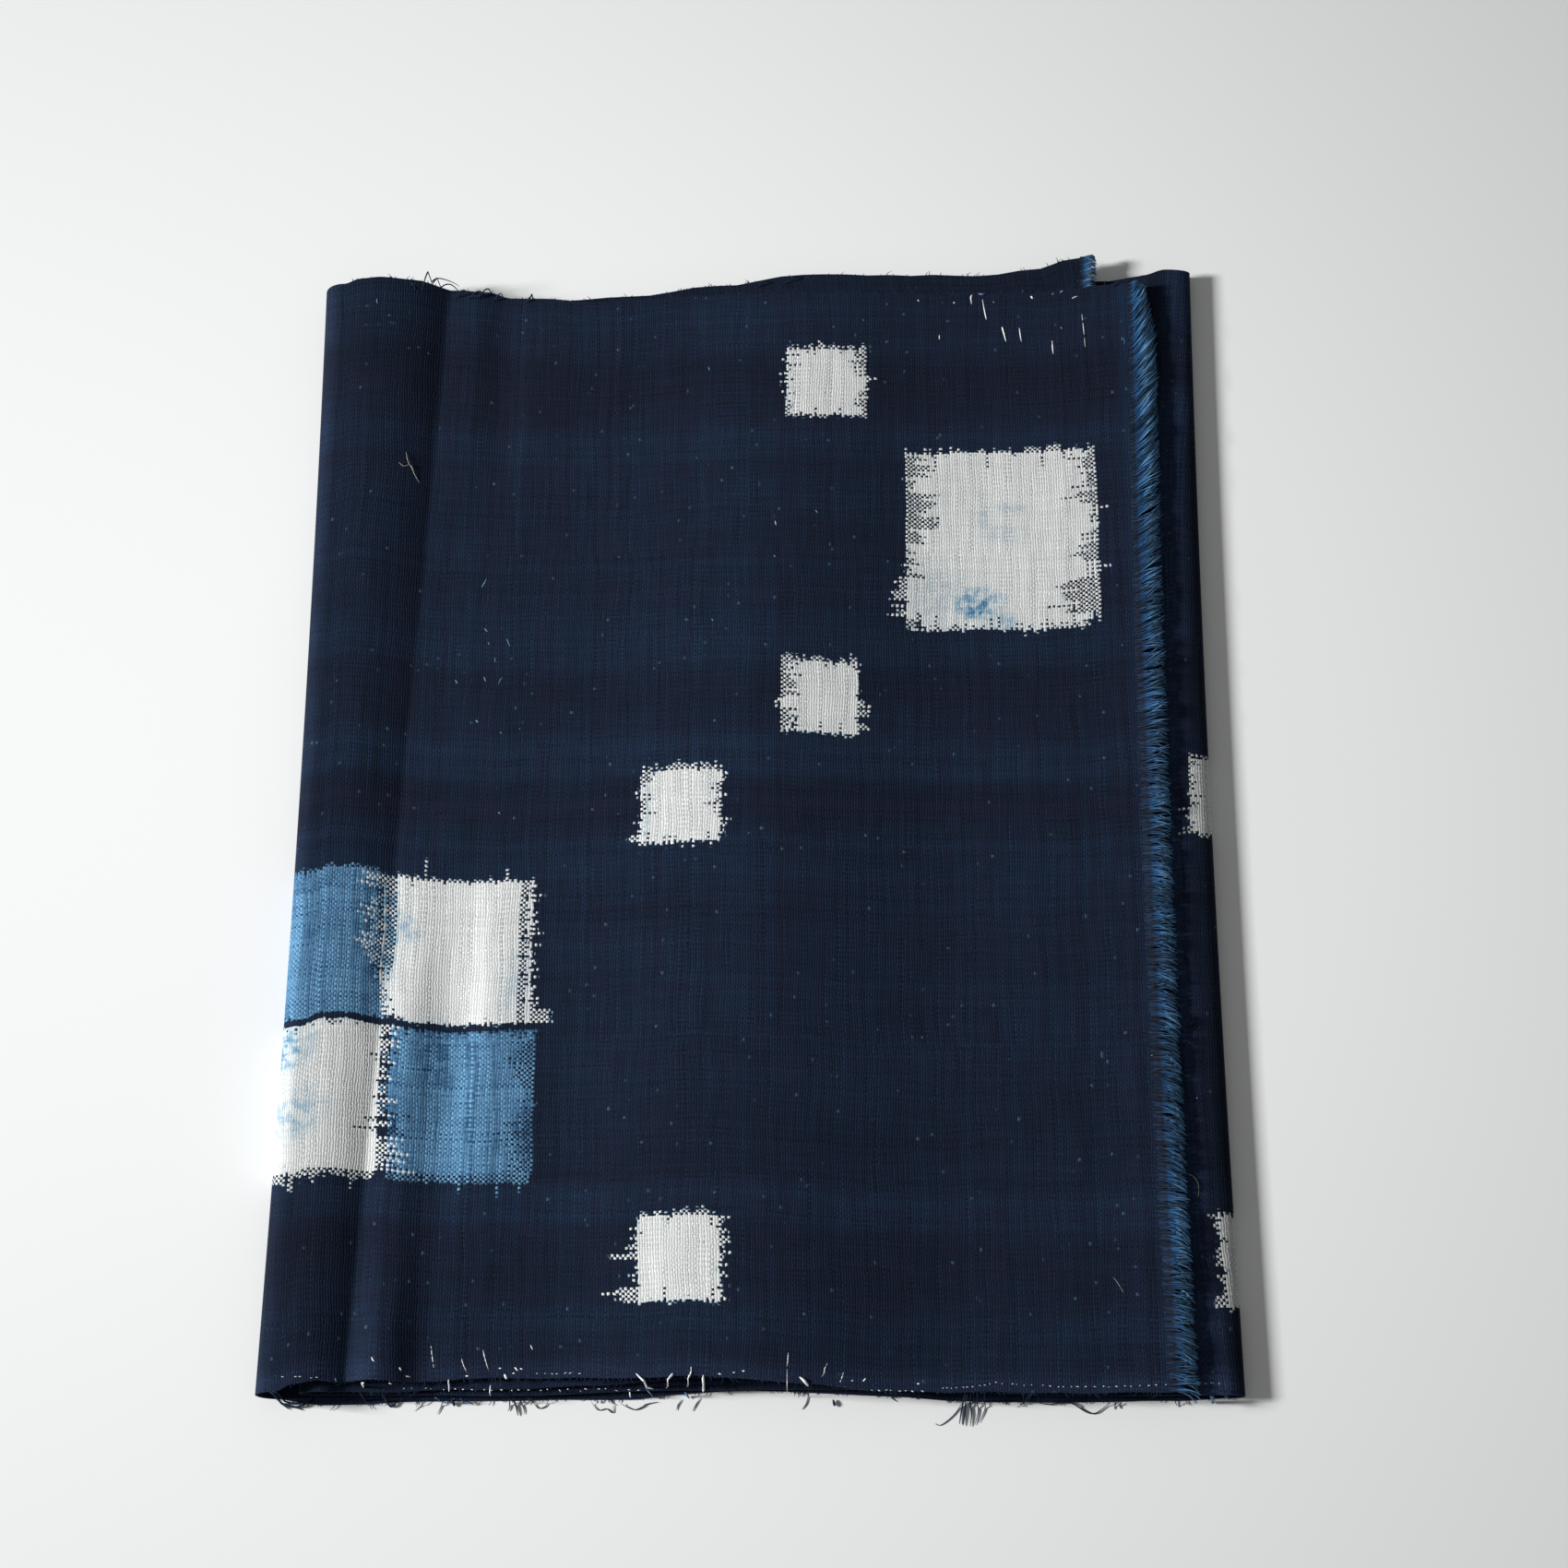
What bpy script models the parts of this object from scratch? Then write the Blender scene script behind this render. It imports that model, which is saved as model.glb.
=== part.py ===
"""Folded length of kasuri cotton with its two frayed cut ends.

The cloth is one narrow-loom length, folded in half along its warp and then in half again, so
that four layers lie on the surface. The warp runs along X, and the selvedges face north, +Y,
and south, -Y. The top layer starts at a frayed cut at +X and runs to a soft roll at -X. The
bottom layer goes back under it to the fold at +X, the third layer returns from there to a
fold that lies inside the roll, and the second layer ends at the other frayed cut.

Sizes are in millimetres until a point is placed. X and Y are counted from the middle of the
folded cloth, and Z from the surface it lies on. A place between the selvedges is a share, 0
at the north selvedge and 1 at the south one.
"""

import math
import random
from collections import namedtuple

import bmesh
import bpy

MM = 0.001

# The sheet, and the clearance between two pieces
THICKNESS = 1.0
GAP = 0.3

# Height of the middle of the sheet where each layer lies flat
LAYER_Z = {"bottom": 0.5, "third": 2.8, "second": 5.0, "top": 7.2}

# A value at the north selvedge, halfway, and at the south selvedge
Course = namedtuple("Course", "north middle south")

# X of the cuts, fold crests, fold faces and creases, each a line from selvedge to selvedge.
# A crest is where a layer starts to turn over, and a face is as far out as the turn goes.
LINES = {
    "top cut": Course(110.4, 106.6, 107.6),
    "middle swell": Course(14.0, -1.0, -2.5),
    "shoulder foot": Course(-42.0, -47.0, -53.0),
    "second crease": Course(-72.5, -78.5, -85.5),
    "second ridge": Course(-81.0, -90.5, -97.0),
    "valley": Course(-90.5, -98.0, -105.5),
    "roll crest": Course(-115.5, -116.0, -118.5),
    "roll turn": Course(-121.0, -120.5, -122.8),
    "roll face": Course(-126.5, -125.9, -127.9),
    "right crest": Course(122.0, 121.2, 122.0),
    "right face": Course(127.9, 126.9, 127.9),
    "right foot": Course(114.0, 113.0, 114.0),
    "inner crest": Course(-104.0, -107.6, -112.0),
    "inner face": Course(-112.0, -113.4, -117.4),
    "inner foot": Course(-96.0, -100.4, -105.0),
    "second cut": Course(94.8, 93.4, 95.0),
}

# Soft ridges that lift a layer: its crest line, the widths of its left and right flanks, and
# how far it rises. One is a bell in section, or an arch where its last value is true.
Ridge = namedtuple("Ridge", "layer crest left right rise arched")
RIDGES = [
    Ridge("top", "top cut", Course(16, 16, 16), Course(16, 16, 16), Course(1.3, 1.5, 1.3), False),
    Ridge("top", "middle swell", Course(46, 60, 58), Course(50, 62, 58), Course(1.8, 4.0, 4.2), False),
    Ridge("top", "second ridge", Course(12.0, 10.0, 8.5), Course(8.5, 12.0, 11.5),
          Course(0.4, 0.0, 3.6), False),
    Ridge("top", "roll crest", Course(26, 26, 26), Course(25.0, 18.0, 13.0), Course(5.4, 2.8, 3.2), True),
    Ridge("third", "right crest", Course(9, 9, 9), Course(8, 8, 8), Course(1.8, 1.8, 1.8), False),
    Ridge("second", "inner crest", Course(8.0, 7.2, 7.0), Course(8.0, 7.2, 7.0),
          Course(2.6, 2.4, 2.5), False),
]
ARCH_POWER = 1.8

# The section, from the top cut to the second cut: level runs of a layer, and the turns at
# its folds. steps is the number of equal parts that a row is divided into.
Run = namedtuple("Run", "layer start end steps")
Turn = namedtuple("Turn", "crest face start_layer end_layer steps")
SECTION = [
    Run("top", "top cut", "shoulder foot", 12),
    Run("top", "shoulder foot", "second crease", 4),
    Run("top", "second crease", "second ridge", 4),
    Run("top", "second ridge", "valley", 4),
    Run("top", "valley", "roll crest", 5),
    Run("top", "roll crest", "roll turn", 2),
    Turn("roll turn", "roll face", "top", "bottom", 10),
    Run("bottom", "roll turn", "right crest", 9),
    Turn("right crest", "right face", "bottom", "third", 8),
    Run("third", "right crest", "right foot", 4),
    Run("third", "right foot", "inner crest", 8),
    Turn("inner crest", "inner face", "third", "second", 8),
    Run("second", "inner crest", "inner foot", 4),
    Run("second", "inner foot", "second cut", 8),
]

# Where each layer starts and ends, in the order in which the sheet passes through them
LAYER_ENDS = {
    "top": ("top cut", "roll turn"),
    "bottom": ("roll turn", "right crest"),
    "third": ("right crest", "inner crest"),
    "second": ("inner crest", "second cut"),
}

# Y of the two selvedges. layers is the way along the sheet from the top cut, in layers, so
# 1, 2 and 3 are its folds. The folds are a little skew, so the edges of the layers differ.
Edge = namedtuple("Edge", "layers north south")
EDGES = [
    Edge(0.00, 160.8, -168.3),
    Edge(0.14, 157.7, -168.3),
    Edge(0.30, 157.4, -167.8),
    Edge(0.54, 156.7, -164.6),
    Edge(0.68, 155.0, -164.6),
    Edge(0.75, 156.0, -164.4),
    Edge(0.79, 156.2, -164.3),
    Edge(0.82, 158.0, -164.2),
    Edge(0.86, 158.8, -163.2),
    Edge(0.91, 160.2, -162.2),
    Edge(0.95, 160.4, -162.8),
    Edge(0.98, 159.6, -164.2),
    Edge(1.00, 158.0, -165.2),
    Edge(1.20, 158.2, -168.0),
    Edge(1.36, 159.4, -168.9),
    Edge(1.48, 160.2, -166.2),
    Edge(1.80, 161.7, -169.3),
    Edge(1.95, 164.6, -169.0),
    Edge(2.00, 166.3, -168.6),
    Edge(2.05, 163.8, -168.4),
    Edge(2.50, 160.7, -166.3),
    Edge(2.80, 157.2, -168.1),
    Edge(3.00, 156.0, -167.8),
    Edge(3.22, 156.2, -167.0),
    Edge(3.34, 158.2, -166.0),
    Edge(3.47, 161.8, -164.0),
    Edge(3.58, 165.5, -162.3),
    Edge(3.85, 165.2, -162.3),
    Edge(3.95, 167.0, -161.3),
    Edge(4.00, 169.3, -160.3),
]
ROWS_ACROSS = 22

# Fringes. Each is a narrow strip beside its cut, with one strand to a bundle of warp ends.
# reach is how far a strand goes out, lean how far its tip goes north for each unit out, and
# steps the number of parts that it droops in.
STRIP_WIDTH = 1.6
STRAND_SHARE = 0.56
TIP_SHARE = 0.55
REACH_SPREAD = 0.16
LEAN_SPREAD = 0.22
Fringe = namedtuple("Fringe", "node layer cut layers strands reach lean steps seed")
FRINGES = [
    Fringe("fringe_top", "top", "top cut", 0.0, 110,
           Course(5.4, 7.6, 6.4), Course(0.55, 0.12, 0.02), 2, 5),
    Fringe("fringe_inner", "second", "second cut", 4.0, 58,
           Course(5.0, 5.0, 5.0), Course(0.10, 0.05, 0.00), 1, 9),
]

# Finishes, each with its linear colour
Finish = namedtuple("Finish", "name colour roughness")
INDIGO_COTTON = Finish("indigo_cotton", (0.011, 0.018, 0.036, 1.0), 0.92)
FADED_WARP = Finish("faded_warp", (0.040, 0.100, 0.190, 1.0), 0.95)


def course_value(course, share):
    """Value of a course at a share of the way from the north selvedge to the south one."""
    north_part = (1.0 - share) * (1.0 - 2.0 * share)
    middle_part = 4.0 * share * (1.0 - share)
    south_part = share * (2.0 * share - 1.0)
    return course.north * north_part + course.middle * middle_part + course.south * south_part


def line_x(name, share):
    """X of a named line."""
    return course_value(LINES[name], share)


def mix(start, end, part):
    """Value a part of the way from start to end."""
    return start + (end - start) * part


def layer_height(layer, x, share):
    """Height of the middle of the sheet, with the ridges that lift that layer."""
    height = LAYER_Z[layer]
    for ridge in RIDGES:
        if ridge.layer != layer:
            continue
        offset = x - line_x(ridge.crest, share)
        half = course_value(ridge.right if offset > 0.0 else ridge.left, share)
        part = abs(offset) / half
        if part < 1.0:
            shape = 1.0 - part ** ARCH_POWER if ridge.arched else 0.5 * (1.0 + math.cos(math.pi * part))
            height += course_value(ridge.rise, share) * shape
    return height


def edge_y(layers, share):
    """Y at a share of the way between the selvedges, layers along the sheet."""
    before = EDGES[0]
    after = EDGES[-1]
    for first, second in zip(EDGES, EDGES[1:]):
        if first.layers <= layers <= second.layers:
            before = first
            after = second
            break
    part = (layers - before.layers) / (after.layers - before.layers)
    part = part * part * (3.0 - 2.0 * part)
    north = mix(before.north, after.north, part)
    south = mix(before.south, after.south, part)
    return mix(north, south, share)


def run_points(run, share):
    """Points of a level run: the way along the sheet, X and Z of each."""
    layer_start, layer_end = LAYER_ENDS[run.layer]
    number = list(LAYER_ENDS).index(run.layer)
    first_x = line_x(layer_start, share)
    last_x = line_x(layer_end, share)
    points = []
    for step in range(run.steps + 1):
        x = mix(line_x(run.start, share), line_x(run.end, share), step / run.steps)
        layers = number + (x - first_x) / (last_x - first_x)
        points.append((layers, x, layer_height(run.layer, x, share)))
    return points


def turn_points(turn, share):
    """Points of a turn, which is half of an oval from one layer to the next."""
    crest_x = line_x(turn.crest, share)
    depth = line_x(turn.face, share) - crest_x
    start_z = layer_height(turn.start_layer, crest_x, share)
    end_z = layer_height(turn.end_layer, crest_x, share)
    layers = list(LAYER_ENDS).index(turn.start_layer) + 1
    points = []
    for step in range(turn.steps + 1):
        angle = math.pi * step / turn.steps
        x = crest_x + depth * math.sin(angle)
        z = mix(start_z, end_z, 0.5 - 0.5 * math.cos(angle))
        points.append((layers, x, z))
    return points


def section_points(share):
    """Points of the whole section at one share of the way between the selvedges."""
    points = []
    for row in SECTION:
        if isinstance(row, Run):
            row_points = run_points(row, share)
        else:
            row_points = turn_points(row, share)
        points.extend(row_points if not points else row_points[1:])
    return points


def make_material(finish):
    """Principled material of a finish."""
    material = bpy.data.materials.new(finish.name)
    material.use_nodes = True
    shader = material.node_tree.nodes["Principled BSDF"]
    shader.inputs["Base Color"].default_value = finish.colour
    shader.inputs["Roughness"].default_value = finish.roughness
    material.diffuse_color = finish.colour
    return material


def make_object(name, shape, material):
    """Object from a finished bmesh, shaded smooth but for its edges."""
    mesh = bpy.data.meshes.new(name)
    shape.to_mesh(mesh)
    shape.free()
    mesh.materials.append(material)
    mesh.shade_smooth()
    mesh.set_sharp_from_angle(angle=math.radians(40.0))
    piece = bpy.data.objects.new(name, mesh)
    bpy.context.scene.collection.objects.link(piece)
    return piece


def build_cloth(material):
    """The folded sheet: a flat grid moved onto the section, then given its thickness."""
    columns = len(section_points(0.0)) - 1
    shape = bmesh.new()
    bmesh.ops.create_grid(shape, x_segments=columns, y_segments=ROWS_ACROSS, size=1.0)
    # Rows lie closer together near the selvedges, where the edges vary most
    shares = [0.5 - 0.5 * math.cos(math.pi * row / ROWS_ACROSS) for row in range(ROWS_ACROSS + 1)]
    sections = [section_points(share) for share in shares]
    for vertex in shape.verts:
        column = round((vertex.co.x + 1.0) * 0.5 * columns)
        row = round((1.0 - vertex.co.y) * 0.5 * ROWS_ACROSS)
        layers, x, z = sections[row][column]
        y = edge_y(layers, shares[row])
        vertex.co = (x * MM, y * MM, z * MM)
    bmesh.ops.recalc_face_normals(shape, faces=shape.faces)
    piece = make_object("cloth", shape, material)
    wall = piece.modifiers.new("thickness", "SOLIDIFY")
    wall.thickness = THICKNESS * MM
    wall.offset = 0.0
    wall.use_even_offset = True
    return piece


def strand_shares(strands):
    """Shares between the selvedges at which a strip is divided: strand roots and the gaps."""
    shares = [0.0]
    for index in range(strands):
        middle = (index + 0.5) / strands
        half = 0.5 * STRAND_SHARE / strands
        shares.extend((middle - half, middle + half))
    shares.append(1.0)
    return shares


def extend_strand(shape, face, share, fringe, chance):
    """Draw one strand out of its root face, drooping towards the layer it lies on."""
    root = face.calc_center_median() / MM
    reach = course_value(fringe.reach, share) * (1.0 + chance.uniform(-1.0, 1.0) * REACH_SPREAD)
    lean = course_value(fringe.lean, share) + chance.uniform(-1.0, 1.0) * LEAN_SPREAD
    tip_x = root.x + reach
    tip_half = 0.5 * THICKNESS * TIP_SHARE
    tip_z = layer_height("third", tip_x, share) + 0.5 * THICKNESS + GAP + tip_half
    corners = [(vertex.co / MM) - root for vertex in face.verts]
    for step in range(1, fringe.steps + 1):
        part = step / fringe.steps
        scale = mix(1.0, TIP_SHARE, part)
        drawn = bmesh.ops.extrude_discrete_faces(shape, faces=[face])
        face = drawn["faces"][0]
        for vertex, corner in zip(face.verts, corners):
            x = mix(root.x, tip_x, part) + corner.x * scale
            y = root.y + reach * lean * part * part + corner.y * scale
            z = mix(root.z, tip_z, part * part) + corner.z * scale
            vertex.co = (x * MM, y * MM, z * MM)


def build_fringe(fringe, material):
    """A strip beside a cut, with its strands drawn out of the strip's outer side."""
    chance = random.Random(fringe.seed)
    shares = strand_shares(fringe.strands)
    parts = len(shares) - 1
    shape = bmesh.new()
    bmesh.ops.create_grid(shape, x_segments=1, y_segments=parts, size=1.0)
    for vertex in shape.verts:
        share = shares[round((1.0 - vertex.co.y) * 0.5 * parts)]
        cut_x = line_x(fringe.cut, share)
        x = cut_x + GAP + (STRIP_WIDTH if vertex.co.x > 0.0 else 0.0)
        z = layer_height(fringe.layer, cut_x, share) - 0.5 * THICKNESS
        vertex.co = (x * MM, edge_y(fringe.layers, share) * MM, z * MM)
    top = bmesh.ops.extrude_face_region(shape, geom=shape.faces[:])
    raised = [item for item in top["geom"] if isinstance(item, bmesh.types.BMVert)]
    bmesh.ops.translate(shape, verts=raised, vec=(0.0, 0.0, THICKNESS * MM))
    bmesh.ops.recalc_face_normals(shape, faces=shape.faces)
    outer = [face for face in shape.faces if face.normal.x > 0.9]
    outer.sort(key=lambda face: -face.calc_center_median().y)
    for index, face in enumerate(outer[1::2]):
        extend_strand(shape, face, (index + 0.5) / fringe.strands, fringe, chance)
    bmesh.ops.recalc_face_normals(shape, faces=shape.faces)
    return make_object(fringe.node, shape, material)


def build():
    """Clear the scene and build the cloth and its two fringes."""
    for old in list(bpy.data.objects):
        bpy.data.objects.remove(old)
    build_cloth(make_material(INDIGO_COTTON))
    faded = make_material(FADED_WARP)
    for fringe in FRINGES:
        build_fringe(fringe, faded)


build()
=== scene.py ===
"""Looks of a folded length of kasuri cotton, double ikat dyed with indigo.

The cloth is one narrow-loom length, folded in half along its warp and then in half again. The
warp runs along X and the selvedges face north, +Y, and south, -Y. The top layer starts at a
frayed cut at +X, runs over a few soft swells and creases to a roll at -X, goes back under
itself as the bottom layer, turns again at the right fold and ends inside at a second cut.

Sizes are in millimetres until a point is placed. Two measures run along the cloth itself: warp
distance, from the top cut, and weft place, from the middle of the width, north being positive.
A place between the selvedges is also given as a share, 0 at the north one and 1 at the south.
"""

import logging
import math
import random
from collections.abc import Sequence
from dataclasses import dataclass, field
from enum import Enum
from typing import NamedTuple

import bmesh
import bpy
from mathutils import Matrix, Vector, noise


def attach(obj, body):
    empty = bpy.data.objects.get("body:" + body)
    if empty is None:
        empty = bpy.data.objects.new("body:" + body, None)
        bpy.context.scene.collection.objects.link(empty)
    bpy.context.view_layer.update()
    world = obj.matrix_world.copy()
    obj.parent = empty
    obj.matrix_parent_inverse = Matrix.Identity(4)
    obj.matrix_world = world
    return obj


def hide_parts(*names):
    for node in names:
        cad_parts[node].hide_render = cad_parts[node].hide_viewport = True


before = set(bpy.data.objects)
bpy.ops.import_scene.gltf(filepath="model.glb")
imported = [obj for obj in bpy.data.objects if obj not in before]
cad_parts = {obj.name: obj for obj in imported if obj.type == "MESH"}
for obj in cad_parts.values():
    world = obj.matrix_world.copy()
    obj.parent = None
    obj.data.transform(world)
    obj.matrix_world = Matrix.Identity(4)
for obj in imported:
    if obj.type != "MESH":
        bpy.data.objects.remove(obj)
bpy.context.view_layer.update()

log = logging.getLogger("kasuri")

Piece = bpy.types.Object
Socket = bpy.types.NodeSocket
Tree = bpy.types.NodeTree
# Lowest and highest value that chance may give
Span = tuple[float, float]

MM = 0.001

# Flat width of the cloth between its selvedges, and its length between the cuts
FLAT_WIDTH = 327.0
FLAT_LENGTH = 965.0
# Warp distance after which the pattern comes again, as the lower layer shows at the right fold
REPEAT = 360.7


def mix(start: float, end: float, part: float) -> float:
    """Value a part of the way from start to end."""
    return start + (end - start) * part


def arch(share: float) -> float:
    """A curve that is 1 halfway and 0 at both ends."""
    return 4.0 * share * (1.0 - share)


def bell(part: float) -> float:
    """A soft bell, 1 in its middle and 0 at its foot, so many half widths from the middle."""
    return 0.5 * (1.0 + math.cos(math.pi * part))


class Ramp(NamedTuple):
    """A value that goes from first to last between a start and an end, and holds beyond them."""

    start: float
    end: float
    first: float
    last: float


@dataclass(frozen=True)
class Course:
    """A value at the north selvedge, halfway and at the south selvedge, on a smooth curve."""

    north: float
    middle: float
    south: float

    def at(self, share: float) -> float:
        """Value at a share of the way from the north selvedge to the south one."""
        north_part = (1.0 - share) * (1.0 - 2.0 * share)
        south_part = share * (2.0 * share - 1.0)
        return self.north * north_part + self.middle * arch(share) + self.south * south_part


class Layer(Enum):
    """The layers, in the order in which the sheet passes through them."""

    TOP = 0
    BOTTOM = 1
    THIRD = 2
    SECOND = 3


@dataclass(frozen=True)
class Ridge:
    """A soft swell that lifts a layer along a line from selvedge to selvedge.

    It is a bell, or an arch where arched is true, and its two flanks have their own widths.
    """

    layer: Layer
    crest: str
    left: Course
    right: Course
    rise: Course
    arched: bool = False
    arch_power: float = 1.8

    def lift(self, offset: float, share: float) -> float:
        """Height that the ridge adds, so far to the right of its crest."""
        half = self.right if offset > 0.0 else self.left
        part = abs(offset) / half.at(share)
        if part >= 1.0:
            return 0.0
        shape = 1.0 - part ** self.arch_power if self.arched else bell(part)
        return self.rise.at(share) * shape


@dataclass(frozen=True)
class Crease:
    """A short soft ridge or trough in the top layer, long along its heading from +X.

    Its flank on the left of that heading may be wider or narrower than the one on the right.
    """

    x: float
    y: float
    heading: float
    half_length: float
    left_width: float
    right_width: float
    rise: float

    def lift(self, x: float, y: float) -> float:
        """Height that the crease adds at a point."""
        turn = math.radians(self.heading)
        dx = x - self.x
        dy = y - self.y
        along = (dx * math.cos(turn) + dy * math.sin(turn)) / self.half_length
        across = dy * math.cos(turn) - dx * math.sin(turn)
        across /= self.left_width if across > 0.0 else self.right_width
        if abs(along) >= 1.0 or abs(across) >= 1.0:
            return 0.0
        return self.rise * bell(along) * bell(across)


@dataclass(frozen=True)
class Run:
    """A stretch of one layer between two lines, divided into equal steps."""

    layer: Layer
    start: str
    end: str
    steps: int


@dataclass(frozen=True)
class Turn:
    """A fold: half of an oval from one layer to the next."""

    crest: str
    face: str
    start_layer: Layer
    end_layer: Layer
    steps: int


@dataclass(frozen=True)
class Edge:
    """Y of the two selvedges, so many layers along the sheet from the top cut.

    The bow is how far north the warp yarns lie halfway between them. The flare is how far the
    cloth beside the south selvedge is stretched out southwards.
    """

    layers: float
    north: float
    south: float
    bow: float = 0.0
    flare: float = 0.0


@dataclass(frozen=True)
class SheetPoint:
    """A point of the folded section."""

    layers: float
    x: float
    z: float


@dataclass
class FoldPlan:
    """Where the cloth lies: its layers, folds, swells and selvedges.

    They start from the CAD solid, and some lines were fitted a little further.
    """

    levels: dict[Layer, float] = field(default_factory=lambda: {
        Layer.BOTTOM: 0.4,
        Layer.THIRD: 2.8,
        Layer.SECOND: 5.0,
        Layer.TOP: 7.2,
    })
    lines: dict[str, Course] = field(default_factory=lambda: {
        "top cut": Course(110.9, 107.9, 108.6),
        "middle swell": Course(14.0, -1.0, -2.5),
        "shoulder foot": Course(-42.0, -47.0, -53.0),
        "shoulder": Course(-62.0, -67.0, -70.0),
        "second crease": Course(-72.5, -78.5, -85.5),
        "second ridge": Course(-81.0, -90.5, -97.0),
        "valley": Course(-90.5, -98.0, -105.5),
        "roll crest": Course(-115.5, -116.0, -118.5),
        "roll turn": Course(-121.2, -120.7, -123.2),
        "roll face": Course(-126.9, -126.3, -128.6),
        "right crest": Course(122.0, 121.2, 122.0),
        "right face": Course(128.9, 126.9, 127.9),
        "right foot": Course(114.0, 113.0, 114.0),
        "inner crest": Course(-104.0, -107.6, -112.0),
        "inner face": Course(-112.0, -113.4, -117.4),
        "inner foot": Course(-96.0, -100.4, -105.0),
        "second cut": Course(97.6, 93.4, 95.0),
    })
    ridges: tuple[Ridge, ...] = (
        Ridge(Layer.TOP, "top cut", Course(16, 16, 16), Course(16, 16, 16),
              Course(0.5, 0.5, 0.5)),
        Ridge(Layer.TOP, "middle swell", Course(46, 60, 58), Course(50, 62, 58),
              Course(1.6, 3.4, 3.7)),
        Ridge(Layer.TOP, "second ridge", Course(12.0, 10.0, 9.5), Course(8.5, 12.0, 12.5),
              Course(0.4, 0.0, 1.9)),
        Ridge(Layer.TOP, "roll crest", Course(26, 26, 26), Course(25.0, 18.0, 13.0),
              Course(5.4, 2.8, 3.2), True),
        Ridge(Layer.THIRD, "right crest", Course(9, 9, 9), Course(8, 8, 8), Course(1.8, 1.8, 1.8)),
        Ridge(Layer.THIRD, "right foot", Course(9, 9, 9), Course(10, 10, 10), Course(1.7, 1.7, 1.7)),
        Ridge(Layer.SECOND, "inner crest", Course(8.0, 7.2, 7.0), Course(8.0, 7.2, 7.0),
              Course(2.6, 2.4, 2.5)),
    )
    creases: tuple[Crease, ...] = (
        Crease(-82.8, -76.0, 87.8, 72.0, 11.5, 11.5, -0.9),
        Crease(-69.8, -78.0, 87.8, 76.0, 11.0, 22.0, 0.7),
        Crease(-73.0, 130.0, 87.8, 60.0, 12.0, 10.0, -0.8),
        Crease(-96.5, -166.0, 87.8, 42.0, 9.5, 12.5, 1.4),
    )
    section: tuple[Run | Turn, ...] = (
        Run(Layer.TOP, "top cut", "shoulder foot", 84),
        Run(Layer.TOP, "shoulder foot", "shoulder", 14),
        Run(Layer.TOP, "shoulder", "second crease", 10),
        Run(Layer.TOP, "second crease", "second ridge", 12),
        Run(Layer.TOP, "second ridge", "valley", 12),
        Run(Layer.TOP, "valley", "roll crest", 18),
        Run(Layer.TOP, "roll crest", "roll turn", 6),
        Turn("roll turn", "roll face", Layer.TOP, Layer.BOTTOM, 24),
        Run(Layer.BOTTOM, "roll turn", "right crest", 24),
        Turn("right crest", "right face", Layer.BOTTOM, Layer.THIRD, 20),
        Run(Layer.THIRD, "right crest", "right foot", 8),
        Run(Layer.THIRD, "right foot", "inner crest", 24),
        Turn("inner crest", "inner face", Layer.THIRD, Layer.SECOND, 14),
        Run(Layer.SECOND, "inner crest", "inner foot", 6),
        Run(Layer.SECOND, "inner foot", "second cut", 30),
    )
    ends: dict[Layer, tuple[str, str]] = field(default_factory=lambda: {
        Layer.TOP: ("top cut", "roll turn"),
        Layer.BOTTOM: ("roll turn", "right crest"),
        Layer.THIRD: ("right crest", "inner crest"),
        Layer.SECOND: ("inner crest", "second cut"),
    })
    # Way along the sheet in layers, north and south selvedge, and where they matter bow and flare
    edges: tuple[Edge, ...] = tuple(Edge(*row) for row in (
        (0.00, 160.8, -168.3), (0.14, 157.7, -168.3), (0.30, 157.4, -167.8), (0.54, 156.7, -164.6),
        (0.68, 155.0, -164.6), (0.75, 156.0, -164.4, -0.5), (0.79, 156.2, -164.3, -1.5, 0.4),
        (0.82, 158.0, -164.2, -2.2, 1.2), (0.86, 158.8, -163.2, -2.7, 2.4),
        (0.91, 160.2, -162.2, -2.6, 3.2), (0.95, 160.4, -162.8, -1.0, 2.8),
        (0.98, 159.6, -164.2, 0.4, 2.6), (1.00, 158.0, -166.2, 0.4, 2.6),
        (1.03, 158.1, -168.4, 0.3, 1.6), (1.20, 158.2, -168.9), (1.36, 159.4, -168.9),
        (1.48, 160.2, -166.2), (1.80, 161.7, -169.3), (1.95, 164.6, -164.4, -0.8, 4.6),
        (2.00, 167.4, -164.0, -0.8, 4.6), (2.03, 165.6, -163.9, -0.9, 4.6),
        (2.05, 164.6, -163.8, -1.0, 4.6), (2.50, 160.7, -166.3), (2.80, 157.2, -168.1),
        (3.00, 156.0, -167.8), (3.22, 156.2, -167.0), (3.34, 158.2, -166.0), (3.47, 161.8, -164.0),
        (3.58, 165.5, -162.3), (3.85, 165.2, -162.3), (3.93, 167.4, -161.5), (3.96, 170.0, -161.0),
        (4.00, 171.4, -160.3),
    ))
    # Fine waves of the selvedges, which a weaver's hands and wear leave, and their rows of the noise
    wave: float = 0.45
    wave_length: float = 11.0
    north_seed: float = 2.5
    south_seed: float = 7.5
    # Share of the width from which the flare of an edge starts
    flare_from: float = 0.86
    # Share past a selvedge at which a point is still on the cloth, and the rounds of that search
    margin: float = 0.003
    rounds: int = 3
    half_thickness: float = 0.3

    def line_x(self, name: str, share: float) -> float:
        """X of a named line."""
        return self.lines[name].at(share)

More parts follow.
